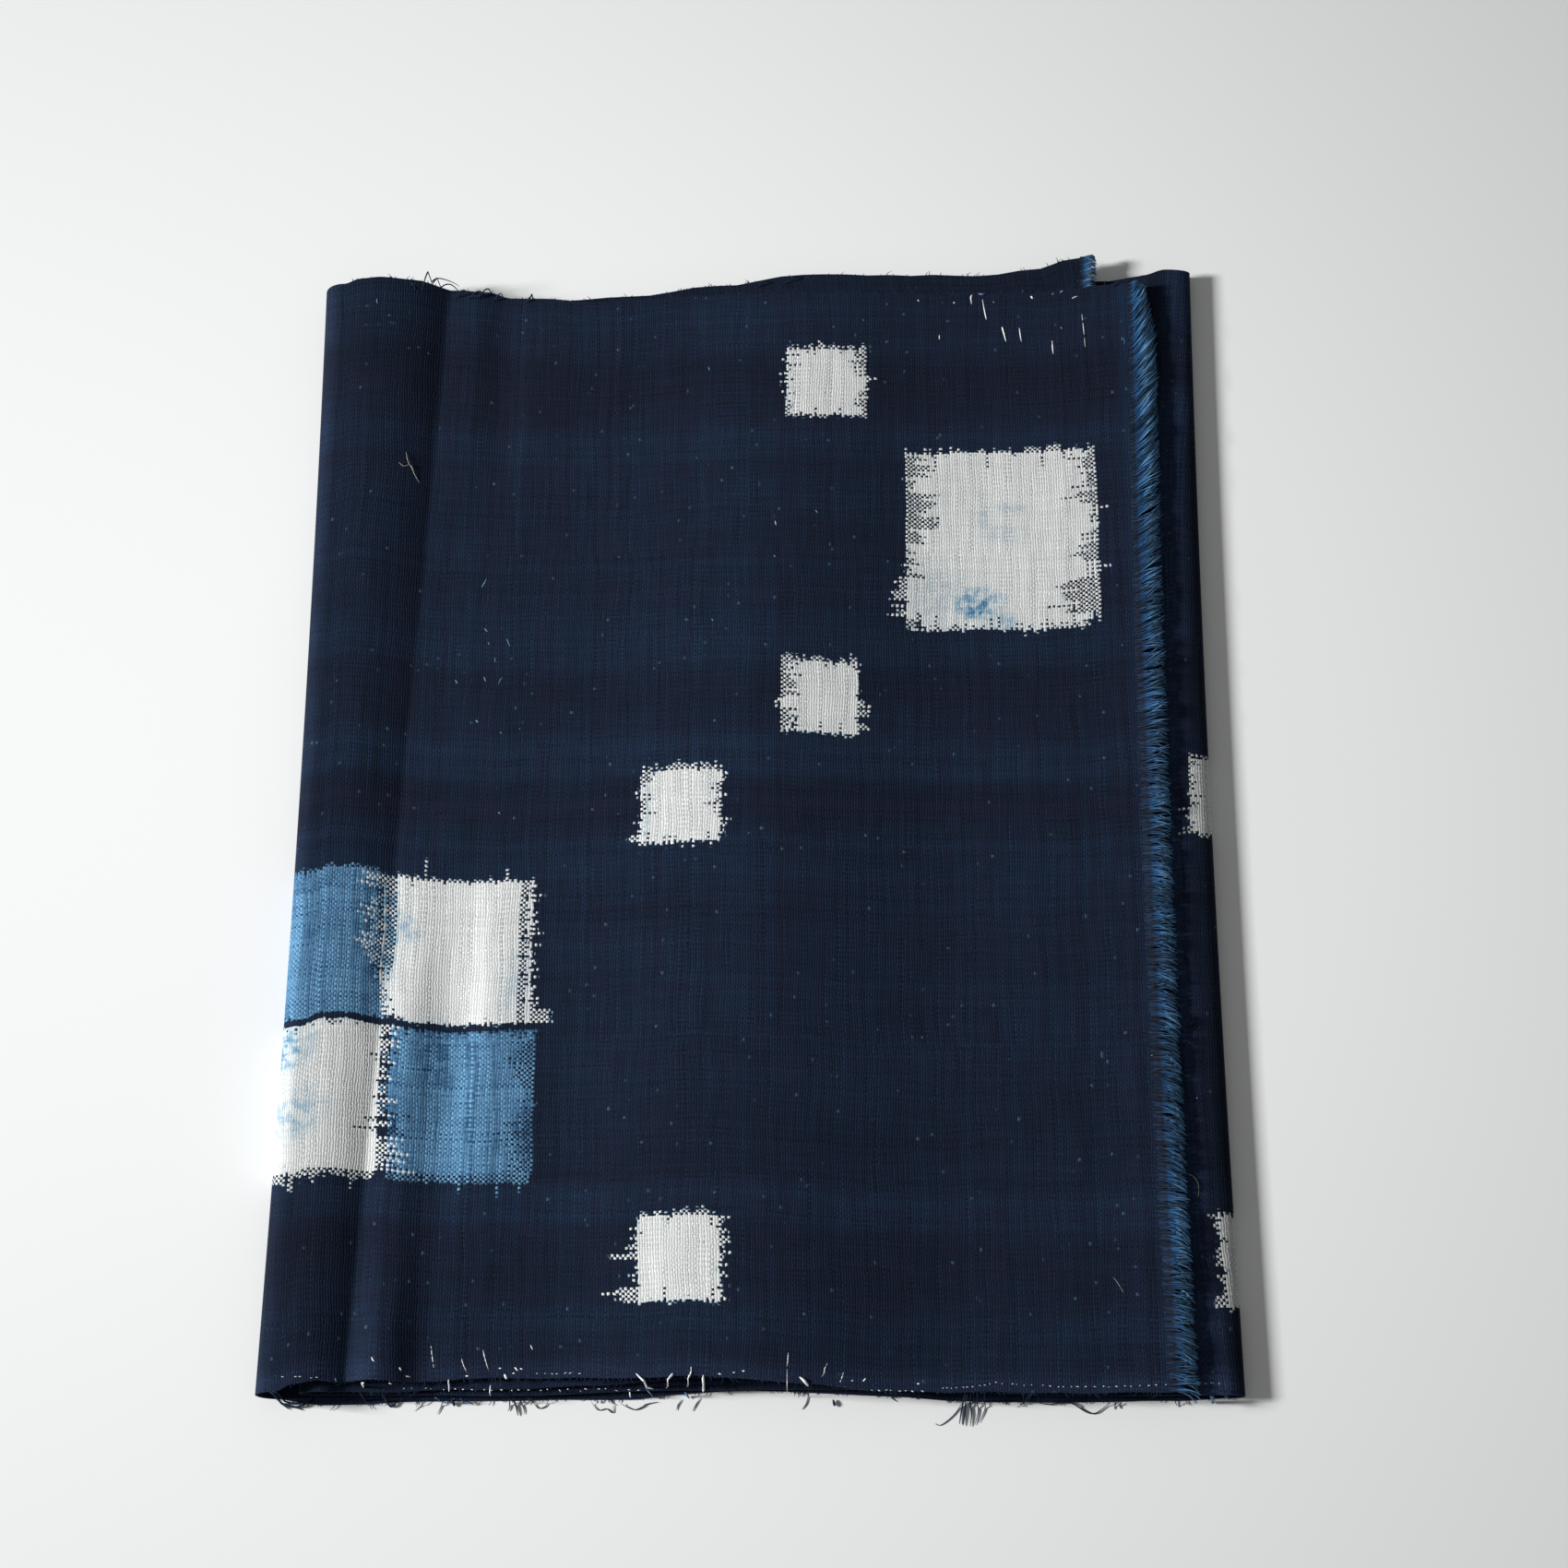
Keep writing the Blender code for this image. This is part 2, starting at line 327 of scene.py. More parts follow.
    def height(self, layer: Layer, x: float, share: float) -> float:
        """Height of the middle of the sheet in a layer.

        Args:
            layer: the layer that the point is in.
            x: its X.
            share: its place between the selvedges.

        Returns:
            The layer's level with the ridges and creases that lift it.
        """
        height = self.levels[layer]
        for ridge in self.ridges:
            if ridge.layer == layer:
                height += ridge.lift(x - self.line_x(ridge.crest, share), share)
        if layer == Layer.TOP:
            y = mix(self.edges[0].north, self.edges[0].south, share)
            height += sum(crease.lift(x, y) for crease in self.creases)
        return height

    def edge_y(self, layers: float, share: float) -> float:
        """Y of a point of the sheet.

        Args:
            layers: the way along the sheet from the top cut, in layers.
            share: the place between the selvedges.

        Returns:
            Y between the two selvedges, which wave a little.
        """
        before, after = self.edges[0], self.edges[-1]
        for first, second in zip(self.edges, self.edges[1:]):
            if first.layers <= layers <= second.layers:
                before, after = first, second
                break
        part = (layers - before.layers) / (after.layers - before.layers)
        part = part * part * (3.0 - 2.0 * part)
        along = layers * FLAT_LENGTH / len(Layer) / self.wave_length
        north_wave = self.wave * noise.noise(Vector((along, self.north_seed, 0.0)))
        south_wave = self.wave * noise.noise(Vector((along, self.south_seed, 0.0)))
        north = mix(before.north, after.north, part) + north_wave
        south = mix(before.south, after.south, part) + south_wave
        bow = mix(before.bow, after.bow, part) * arch(share)
        flared = max((share - self.flare_from) / (1.0 - self.flare_from), 0.0)
        return mix(north, south, share) + bow - mix(before.flare, after.flare, part) * flared ** 2

    def surface(self, x: float, y: float) -> float:
        """Height of the top of the highest layer at a point, or of the floor beside the cloth.

        Args:
            x: X of the point.
            y: Y of the point.

        Returns:
            Z of the cloth's upper side there.
        """
        for layer in (Layer.TOP, Layer.SECOND, Layer.THIRD, Layer.BOTTOM):
            share = 0.5
            layers = 0.0
            for _ in range(self.rounds):
                first_x, last_x = (self.line_x(name, share) for name in self.ends[layer])
                layers = layer.value + (x - first_x) / (last_x - first_x)
                north, south = self.edge_y(layers, 0.0), self.edge_y(layers, 1.0)
                share = min(max((north - y) / (north - south), -0.1), 1.1)
            if not -self.margin <= share <= 1.0 + self.margin:
                continue
            if layer.value <= layers <= layer.value + 1.0:
                return self.height(layer, x, share) + self.half_thickness
            crest_x, face_x = self.line_x("roll turn", share), self.line_x("roll face", share)
            if layer == Layer.TOP and face_x < x < crest_x:
                down = 0.5 - 0.5 * math.sqrt(1.0 - ((x - crest_x) / (face_x - crest_x)) ** 2)
                return mix(self.height(layer, crest_x, share), self.levels[Layer.BOTTOM], down)
        return 0.0

    def section_at(self, share: float) -> list[SheetPoint]:
        """Points of the whole section at one place between the selvedges."""
        points: list[SheetPoint] = []
        for row in self.section:
            made = self.run_points(row, share) if isinstance(row, Run) else self.turn_points(row, share)
            points.extend(made if not points else made[1:])
        return points

    def run_points(self, run: Run, share: float) -> list[SheetPoint]:
        """Points of a stretch of one layer."""
        layer_start, layer_end = self.ends[run.layer]
        first_x = self.line_x(layer_start, share)
        last_x = self.line_x(layer_end, share)
        points = []
        for step in range(run.steps + 1):
            x = mix(self.line_x(run.start, share), self.line_x(run.end, share), step / run.steps)
            layers = run.layer.value + (x - first_x) / (last_x - first_x)
            points.append(SheetPoint(layers, x, self.height(run.layer, x, share)))
        return points

    def turn_points(self, turn: Turn, share: float) -> list[SheetPoint]:
        """Points of a fold."""
        crest_x = self.line_x(turn.crest, share)
        depth = self.line_x(turn.face, share) - crest_x
        start_z = self.height(turn.start_layer, crest_x, share)
        end_z = self.height(turn.end_layer, crest_x, share)
        layers = turn.start_layer.value + 1.0
        points = []
        for step in range(turn.steps + 1):
            angle = math.pi * step / turn.steps
            z = mix(start_z, end_z, 0.5 - 0.5 * math.cos(angle))
            points.append(SheetPoint(layers, crest_x + depth * math.sin(angle), z))
        return points


def linear(colour: str) -> tuple[float, float, float, float]:
    """Linear RGBA of an sRGB colour.

    Args:
        colour: six hex digits after a hash sign.

    Returns:
        The colour as the shader reads it, opaque.
    """
    parts = [int(colour[place:place + 2], 16) / 255.0 for place in (1, 3, 5)]
    red, green, blue = (c / 12.92 if c <= 0.04045 else ((c + 0.055) / 1.055) ** 2.4 for c in parts)
    return red, green, blue, 1.0


def add(
    tree: Tree,
    kind: str,
    *inputs: object,
    named: dict[str, object] | None = None,
    output: int | str = 0,
    **settings: object,
) -> Socket:
    """Add a node with its settings and links.

    Args:
        tree: the node tree that gets the node.
        kind: the node's type, without its ShaderNode prefix.
        inputs: a socket to link or a value to set for each input in order, or None to leave it.
        named: the same for inputs picked by name.
        output: the output that is wanted, by number or name.
        settings: the node's own properties.

    Returns:
        The wanted output socket, or the first input of a node without outputs.
    """
    node = tree.nodes.new("ShaderNode" + kind)
    for key, value in settings.items():
        setattr(node, key, value)
    wanted = [(node.inputs[place], value) for place, value in enumerate(inputs)]
    wanted += [(node.inputs[name], value) for name, value in (named or {}).items()]
    for socket, value in wanted:
        if isinstance(value, Socket):
            tree.links.new(value, socket)
        elif value is not None:
            socket.default_value = value
    return node.outputs[output] if node.outputs else node.inputs[0]


def new_material(name: str) -> tuple[bpy.types.Material, Tree]:
    """A new material and its empty node tree."""
    material = bpy.data.materials.new(name)
    material.use_nodes = True
    material.node_tree.nodes.clear()
    return material, material.node_tree


class Dye(Enum):
    """How a bound stretch of yarn came out of the vat."""

    WHITE = "white"
    PALE = "pale"


@dataclass(frozen=True)
class Bundle:
    """Yarns that were bound together before dyeing, and the stretch of them that stayed bare.

    Weft yarns are told apart by warp distance and bare between two weft places. For warp yarns
    it is the other way round.
    """

    first_yarn: float
    last_yarn: float
    bare_from: float
    bare_to: float


def bundles(*rows: tuple[float, float, float, float]) -> tuple[Bundle, ...]:
    """Bundles from rows of their four values."""
    return tuple(Bundle(*row) for row in rows)


@dataclass(frozen=True)
class IkatBlock:
    """A block of the pattern, where bound weft yarns cross bound warp yarns.

    It comes again along the warp, unless it is a slip that happened once.
    """

    name: str
    dye: Dye
    wefts: tuple[Bundle, ...]
    warps: tuple[Bundle, ...]
    weft_ragged: float = 1.0
    warp_ragged: float = 1.0
    once: bool = False


@dataclass(frozen=True)
class Stain:
    """A soft spot on undyed yarn, where dye crept under the bindings."""

    distance: float
    place: float
    half_length: float
    half_width: float
    strength: float


@dataclass(frozen=True)
class YarnSystem:
    """How the yarns of one system, the weft or the warp, lie and vary.

    Each ramp turns a yarn's tone, from 0 to 1, into a brightness or a place between two colours.
    """

    pitch: float
    # Tells the chance of the two systems apart
    seed: float
    # A yarn varies afresh after this length, counted from this share of it
    region: float
    region_start: float
    # Millimetres by which bare stretches fall short, from the longest yarns, 0, to the shortest, 1
    short: tuple[tuple[float, float], ...]
    # Part of that in millimetres which neighbouring yarns share
    grouped: float
    # Length over which a yarn's own tone changes
    tone_length: float
    navy: Ramp
    pale: Ramp
    white: Ramp


@dataclass(frozen=True)
class WovenIndigoCotton:
    """Hand-spun cotton in plain weave, vat-dyed navy: matt, slightly fuzzy, streaked weft-wise.

    Real cloth of this kind has 16 to 19 yarns to the centimetre each way. They are drawn at 14 to
    the centimetre, a little coarser, so that single yarns still show in a picture of it all.
    """

    name: str = "woven_indigo_cotton"
    # Pale weft yarns came out lighter than the warp, which makes the weave of those blocks show
    weft: YarnSystem = YarnSystem(
        pitch=0.72, seed=3.0, region=148.0, region_start=0.47, grouped=2.0, tone_length=16.0,
        short=((0.0, -2.6), (0.05, -0.9), (0.2, -0.3), (0.62, 0.2), (0.8, 0.9), (0.93, 2.4), (1.0, 5.2)),
        navy=Ramp(0.0, 1.0, 0.5, 1.6), pale=Ramp(0.0, 1.0, 0.08, 1.2), white=Ramp(0.0, 1.0, 0.0, 1.0),
    )
    warp: YarnSystem = YarnSystem(
        pitch=0.68, seed=8.0, region=REPEAT, region_start=0.0, grouped=4.0, tone_length=9.0,
        short=((0.0, -4.5), (0.08, -2.0), (0.3, -0.8), (0.7, 0.8), (0.92, 2.2), (1.0, 5.0)),
        navy=Ramp(0.0, 1.0, 0.6, 1.35), pale=Ramp(0.0, 1.0, 0.0, 0.62), white=Ramp(0.0, 1.0, 0.4, 0.8),
    )
    deep_navy: str = "#121b2b"
    blue_navy: str = "#17263b"
    violet_navy: str = "#1b192b"
    fleck_blue: str = "#5f7b94"
    rubbed_blue: str = "#213d5e"
    pale_low: str = "#173c62"
    pale_high: str = "#74a8ce"
    stain_blue: str = "#86a9bf"
    deep_stain: str = "#3f6f96"
    ice_blue: str = "#9fbccb"
    white_low: str = "#adb2b2"
    white_high: str = "#f3f5f3"
    roughness: float = 0.92
    # How far yarns wander from straight: scale of the noise and millimetres, coarse and then fine
    wander: tuple[tuple[float, float], ...] = ((0.045, 1.6), (0.75, 0.55))
    # Weft place at which the charted bands of the vat end, and how much the depth drifts along them
    vat_edge: float = 165.0
    vat_drift: float = 0.9
    violet: Ramp = Ramp(0.45, 0.62, 0.0, 0.45)
    # Tone over warp distance, painted on the strip at the right fold: painted shade at the fold's face,
    # painted light that lifts the strip beside the fringe out of the shadow it lies in, and then back to its
    # own tone where it is hidden
    fold_painted_light_and_shade: tuple[Ramp, ...] = (
        Ramp(490.0, 496.0, 1.0, 0.82), Ramp(499.5, 504.0, 1.0, 2.8), Ramp(508.0, 514.0, 1.0, 0.43),
    )
    # Tone over weft place beside the south selvedge: paler, partly from real wear and partly painted light
    # that lifts the shade the top layer casts on the edges of the layers below
    south_painted_light_and_wear: Ramp = Ramp(-156.5, -161.5, 1.0, 1.6)
    # Painted shade over warp distance on the roll's outer side, which faces the light: darker there
    roll_painted_shade: Ramp = Ramp(222.0, 242.0, 1.0, 0.76)
    # How blue the rubbed cloth is beside the top cut
    rubbed_cut: Ramp = Ramp(0.0, 3.0, 0.2, 0.0)
    # Painted shade from the top of a yarn to the gap beside it, where shade falls between yarns
    weft_gap_painted_shade: Ramp = Ramp(0.0, 1.0, 1.0, 0.82)
    warp_gap_painted_shade: Ramp = Ramp(0.0, 1.0, 1.0, 0.96)
    # Painted shade in the holes between four yarns, how loosely the weft was beaten in, and the length of
    # such a place
    painted_hole_shade: Ramp = Ramp(0.9, 1.9, 0.0, 1.0)
    loose: Ramp = Ramp(0.48, 0.68, 0.05, 0.75)
    loose_length: float = 14.0
    # Which few places of the noise are flecks, how strongly, and their length
    fleck: Ramp = Ramp(0.9955, 1.0, 0.0, 0.36)
    fleck_length: float = 0.8
    # Where a stain is full and where it ends, in shares of its half size, and the clouds in it
    stain_full: float = 0.3
    stain_end: float = 1.2
    stain_clouds: Ramp = Ramp(0.4, 0.6, 0.25, 1.0)
    # Over a yarn's tone, how readily it stains, and over its stain, how deeply
    staining: Ramp = Ramp(0.0, 1.0, 1.2, 0.5)
    deep_staining: Ramp = Ramp(0.9, 1.7, 0.0, 0.85)
    # Bare yarn is icy blue up to this share of its mask, which fades so many millimetres each way
    bleed: float = 0.45
    soft_end: float = 0.45
    blocks: tuple[IkatBlock, ...] = (
        IkatBlock("first small", Dye.WHITE, bundles((75.9, 99.6, 121.9, 145.5)),
                  bundles((122.1, 130.0, 78.0, 97.8), (130.0, 137.0, 76.0, 98.6),
                   (137.0, 144.2, 78.6, 98.2))),
        IkatBlock("second small", Dye.WHITE, bundles((79.1, 100.7, 20.7, 44.4)),
                  bundles((20.9, 28.0, 77.6, 98.0), (28.0, 31.0, 77.0, 101.5),
                   (31.0, 43.0, 78.6, 97.4))),
        IkatBlock("third small", Dye.WHITE, bundles((117.5, 139.5, -13.3, 10.3)),
                  bundles((-13.0, -4.5, 116.2, 140.6), (-4.5, 5.5, 119.3, 138.6),
                   (5.5, 9.0, 117.0, 138.0))),
        IkatBlock("fourth small", Dye.WHITE, bundles((117.0, 138.3, -143.6, -119.2)),
                  bundles((-143.2, -139.6, 116.6, 141.0), (-139.6, -120.7, 115.9, 139.0)), 1.0, 0.8),
        IkatBlock("streaks beside the fourth", Dye.WHITE, (),
                  bundles((-143.2, -139.6, 130.0, 143.0), (-141.6, -140.8, 130.0, 149.5),
                   (-131.6, -130.8, 130.0, 146.0)), 1.0, 0.8, True),
        IkatBlock("large", Dye.WHITE,
                  bundles((9.6, 17.0, 55.0, 110.2), (17.0, 30.0, 54.5, 112.0),
                   (30.0, 50.0, 53.9, 110.7), (50.0, 65.1, 54.2, 110.4)),
                  bundles((53.9, 57.5, 13.0, 62.0), (57.5, 68.5, 19.0, 68.5),
                   (68.5, 81.0, 13.5, 62.5), (81.0, 85.0, 13.0, 59.6),
                   (85.0, 89.5, 13.0, 57.2), (89.5, 92.0, 13.0, 61.0),
                   (92.0, 97.0, 13.0, 58.0), (97.0, 102.0, 13.0, 63.0),
                   (102.0, 105.5, 13.0, 58.4), (105.5, 110.0, 13.0, 60.4)), 1.5, 1.6),
        IkatBlock("upper right quarter", Dye.WHITE,
                  bundles((171.8, 205.6, -64.7, -22.2), (205.6, 208.6, -64.7, -50.0),
                   (168.2, 169.6, -64.7, -22.4), (209.0, 209.8, -60.0, -26.0),
                   (198.1, 198.8, -64.7, -16.8), (175.4, 176.1, -64.7, -19.0)),
                  bundles((-64.6, -61.0, 163.6, 208.0), (-61.0, -54.0, 166.6, 208.0),
                   (-54.0, -48.0, 168.4, 209.0), (-48.0, -40.0, 169.6, 213.0),
                   (-40.0, -23.0, 168.4, 213.0)), 0.7, 1.2),
        IkatBlock("upper left quarter", Dye.PALE,
                  bundles((210.8, 250.0, -64.7, -21.4), (208.6, 210.8, -64.7, -50.0)),
                  bundles((-64.6, -54.0, 207.4, 250.0), (-54.0, -22.4, 209.5, 250.0)), 0.5, 0.8),
        IkatBlock("lower left quarter", Dye.WHITE,
                  bundles((208.9, 250.0, -110.2, -66.8), (230.4, 231.8, -113.0, -66.8),
                   (224.9, 225.6, -112.6, -66.8), (214.5, 215.2, -113.2, -66.8)),
                  bundles((-108.2, -98.0, 203.2, 250.0), (-98.0, -66.9, 206.6, 250.0)), 0.6, 1.7),
        IkatBlock("lower right quarter", Dye.PALE,
                  bundles((167.4, 206.2, -110.4, -66.8), (185.8, 186.5, -113.2, -66.8),
                   (175.4, 176.1, -113.9, -66.8), (170.2, 170.9, -113.0, -66.8)),
                  bundles((-108.4, -92.0, 171.2, 203.5), (-92.0, -82.0, 168.2, 207.8),
                   (-82.0, -70.0, 171.8, 207.8), (-70.0, -66.9, 168.2, 207.8)), 0.6, 1.2),
    )
    # Warp distance, weft place, half length, half width and strength of each
    stains: tuple[Stain, ...] = tuple(Stain(*row) for row in (
        (45.0, 62.5, 10.0, 5.5, 1.3), (44.5, 60.5, 5.5, 4.5, 2.2), (38.0, 56.0, 8.0, 4.0, 0.9),
        (35.5, 92.5, 9.0, 1.6, 0.5), (42.5, 88.0, 2.0, 6.0, 0.45), (36.0, 84.5, 8.0, 4.0, 0.35),
        (56.0, 64.0, 9.0, 12.0, 0.35), (138.2, -1.0, 1.8, 10.0, 0.6), (172.5, -54.0, 6.0, 12.0, 0.45),
        (236.0, -73.0, 10.0, 8.0, 1.5), (233.0, -92.0, 12.0, 9.0, 0.8),
        (246.0, -90.0, 11.0, 30.0, 1.4), (203.0, -38.0, 4.0, 5.0, 0.9), (209.5, -38.0, 5.5, 22.0, 1.7),
        (194.0, -76.0, 6.0, 14.0, 0.75), (170.0, -96.0, 4.0, 10.0, 0.8), (171.0, -74.0, 4.0, 5.0, 0.6),
        (204.0, -92.0, 4.0, 16.0, 0.6), (230.0, -25.0, 14.0, 5.0, 0.6), (214.0, -38.0, 5.0, 14.0, 0.6),
        (226.0, -40.0, 8.0, 6.0, 0.4),
    ))
    # Weft place and depth of blue there, from 0, deep, to 1, bluest: dye lots of the warp
    vat_bands: tuple[tuple[float, float], ...] = (
        (-165.0, 0.3), (-153.0, 0.35), (-148.0, 0.6), (-143.0, 0.35), (-128.0, 0.22), (-121.5, 0.5),
        (-116.5, 0.85), (-111.0, 0.6), (-106.0, 0.35), (-84.0, 0.42), (-63.0, 0.6), (-44.0, 0.5),
        (-29.0, 0.52), (-22.0, 0.75), (-15.0, 0.8), (-8.0, 0.35), (0.4, 0.22), (7.4, 0.5), (13.2, 0.95),
        (17.5, 0.75), (23.3, 0.5), (32.0, 0.28), (40.7, 0.36), (46.5, 0.9), (52.4, 0.8), (61.0, 0.52),
        (91.0, 0.5), (106.0, 0.55), (114.0, 0.82), (119.0, 0.55), (125.0, 0.28), (131.0, 0.05),
        (140.6, 0.15), (145.0, 0.6), (153.0, 0.65), (165.0, 0.45),
    )

    def build(self) -> bpy.types.Material:
        """Make the material, which reads warp distance and weft place from the piece's UV map."""
        material, tree = new_material(self.name)
        place = self.wandering_place(tree)
        warp_distance, weft_place = add(tree, "SeparateXYZ", place).node.outputs[:2]
        weft_count = add(tree, "Math", warp_distance, self.weft.pitch, operation="DIVIDE")
        warp_count = add(tree, "Math", weft_place, self.warp.pitch, operation="DIVIDE")
        weft_number = add(tree, "Math", weft_count, operation="FLOOR")
        warp_number = add(tree, "Math", warp_count, operation="FLOOR")
        weft_up = add(tree, "Math", weft_number, warp_number, operation="ADD")
        weft_up = add(tree, "Math", weft_up, 2.0, operation="FLOORED_MODULO")
        vat = self.vat_depth(tree, warp_distance, weft_place)
        # Painted light and shade on the navy at the right fold, and partly wear, partly painted light beside
        # the south selvedge
        painted_tone_and_wear = self.painted_tone_and_wear(tree, warp_distance, weft_place)
        stain = self.stained(tree, place)
        wefts = self.yarn_colour(tree, self.weft, weft_number, weft_place, vat, painted_tone_and_wear, stain)
        warps = self.yarn_colour(tree, self.warp, warp_number, warp_distance, vat, painted_tone_and_wear, stain)
        colour = add(tree, "MixRGB", weft_up, warps, wefts)
        rubbed = add(tree, "MapRange", warp_distance, *self.rubbed_cut, interpolation_type="SMOOTHSTEP")
        colour = add(tree, "MixRGB", rubbed, colour, linear(self.rubbed_blue))
        colour = self.flecked(tree, colour, weft_number, weft_place)
        weft_gap = self.gap(tree, weft_count)
        warp_gap = self.gap(tree, warp_count)
        # Painted shade on the roll's outer side, which faces the light
        shade = add(tree, "MapRange", warp_distance, *self.roll_painted_shade)
        # Painted shade in the gaps between yarns
        for gap, tone in ((weft_gap, self.weft_gap_painted_shade), (warp_gap, self.warp_gap_painted_shade)):
            darker = add(tree, "MapRange", gap, *tone, interpolation_type="SMOOTHSTEP")
            shade = add(tree, "Math", shade, darker, operation="MULTIPLY")
        colour = add(tree, "VectorMath", colour, named={"Scale": shade}, operation="SCALE")
        colour = self.holed(tree, colour, weft_gap, warp_gap, weft_number, weft_place)
        # The warp lies flatter than the weft
        relief = add(tree, "Math", warp_gap, -0.5, operation="MULTIPLY")
        relief = add(tree, "Math", relief, weft_gap, operation="SUBTRACT")
        bump = add(tree, "Bump", named={"Strength": 0.5, "Distance": 0.00005, "Height": relief},
                   output="Normal")
        shader = add(tree, "BsdfPrincipled", named={
            "Base Color": colour,
            "Roughness": self.roughness,
            "Specular IOR Level": 0.07,
            "Sheen Weight": 0.03,
            "Sheen Roughness": 0.5,
            "Normal": bump,
        })
        add(tree, "OutputMaterial", shader)
        return material

    def wandering_place(self, tree: Tree) -> Socket:
        """Place on the flat cloth in millimetres, moved a little so that yarns wander."""
        flat = add(tree, "UVMap", uv_map="flat")
        place = add(tree, "VectorMath", flat, named={"Scale": 1.0 / MM}, operation="SCALE")
        for scale, reach in self.wander:
            drift = add(tree, "TexNoise", place, named={"Scale": scale, "Detail": 1.0}, output="Color",
                        noise_dimensions="2D")
            drift = add(tree, "VectorMath", drift, (0.5, 0.5, 0.5), operation="SUBTRACT")
            place = add(tree, "VectorMath", drift, (reach, reach, 0.0), place, operation="MULTIPLY_ADD")
        return place

    def gap(self, tree: Tree, count: Socket) -> Socket:
        """How near a place is to the gap between two yarns: 1 in it, less than 0 on their tops."""
        turn = add(tree, "Math", count, 2.0 * math.pi, operation="MULTIPLY")
        return add(tree, "Math", turn, operation="COSINE")

    def vat_depth(self, tree: Tree, warp_distance: Socket, weft_place: Socket) -> Socket:
        """Depth of blue of the dyed yarn, from the charted bands and a slow drift along them."""
        part = add(tree, "MapRange", weft_place, -self.vat_edge, self.vat_edge)
        bands = add(tree, "FloatCurve", 1.0, part)
        width = 2.0 * self.vat_edge
        stops = [((place + self.vat_edge) / width, depth) for place, depth in self.vat_bands]
        self.set_curve(bands.node, stops)
        narrow = add(tree, "Math", weft_place, 4.0, operation="MULTIPLY")
        seed = add(tree, "CombineXYZ", warp_distance, narrow)
        drift = add(tree, "TexNoise", seed, named={"Scale": 0.02, "Detail": 2.0}, noise_dimensions="2D")
        drift = add(tree, "Math", drift, self.vat_drift, -0.5 * self.vat_drift, operation="MULTIPLY_ADD")
        return add(tree, "Math", bands, drift, operation="ADD", use_clamp=True)

    def painted_tone_and_wear(self, tree: Tree, warp_distance: Socket, weft_place: Socket) -> Socket:
        """How bright the navy is made: painted shade at the right fold's face, painted light on the strip
        inside it, and at the south partly wear and partly painted light.
        """
        painted_tone_and_wear = add(tree, "MapRange", weft_place, *self.south_painted_light_and_wear)
        for tone in self.fold_painted_light_and_shade:
            painted_tone_and_wear = add(tree, "Math", painted_tone_and_wear, add(tree, "MapRange", warp_distance, *tone), operation="MULTIPLY")
        return painted_tone_and_wear

    def stained(self, tree: Tree, place: Socket) -> Socket:
        """How much dye crept in under the bindings."""
        total: Socket | float = 0.0
        for stain in self.stains:
            middle = (stain.distance, stain.place, 0.0)
            apart = add(tree, "VectorMath", place, middle, operation="SUBTRACT")
            apart = add(tree, "VectorMath", apart, (1.0 / stain.half_length, 1.0 / stain.half_width, 0.0),
                        operation="MULTIPLY")
            apart = add(tree, "VectorMath", apart, output="Value", operation="LENGTH")
            soft = add(tree, "MapRange", apart, self.stain_full, self.stain_end, stain.strength, 0.0,
                       interpolation_type="SMOOTHSTEP")
            total = add(tree, "Math", total, soft, operation="MAXIMUM")
        cloudy = add(tree, "TexNoise", place, named={"Scale": 0.35, "Detail": 2.0}, noise_dimensions="2D")
        cloudy = add(tree, "MapRange", cloudy, *self.stain_clouds)
        return add(tree, "Math", total, cloudy, operation="MULTIPLY")

    def yarn_colour(
        self, tree: Tree, yarns: YarnSystem, number: Socket, along: Socket, vat: Socket, painted_tone_and_wear: Socket,
        stain: Socket,
    ) -> Socket:
        """Colour of the yarns of one system, as if nothing lay over them.

        Args:
            tree: the material's node tree.
            yarns: the system, weft or warp.
            number: which yarn it is.
            along: place along the yarn, in millimetres.
            vat: depth of blue of the dyed yarn.
            painted_tone_and_wear: how bright painted light and shade, and wear at the south, leave the navy.
            stain: how much dye crept into the undyed yarn.

        Returns:
            The colour.
        """
        is_weft = yarns == self.weft
        region = add(tree, "Math", along, yarns.region, operation="DIVIDE")
        region = add(tree, "Math", region, yarns.region_start, operation="ADD")
        region = add(tree, "Math", region, operation="FLOOR")
        seed = add(tree, "CombineXYZ", number, region, yarns.seed)
        single = add(tree, "TexWhiteNoise", seed, output="Color", noise_dimensions="3D")
        single = add(tree, "SeparateXYZ", single).node
        grouped = add(tree, "TexNoise", seed, named={"Scale": 0.21, "Detail": 1.5}, output="Color",
                      noise_dimensions="3D")
        grouped = add(tree, "SeparateXYZ", grouped).node
        short = []
        for axis in ("X", "Y"):
            ragged = add(tree, "FloatCurve", 1.0, single.outputs[axis])
            self.set_curve(ragged.node, yarns.short)
            group = add(tree, "Math", grouped.outputs[axis], yarns.grouped, -0.5 * yarns.grouped,
                        operation="MULTIPLY_ADD")
            short.append(add(tree, "Math", ragged, group, operation="ADD"))
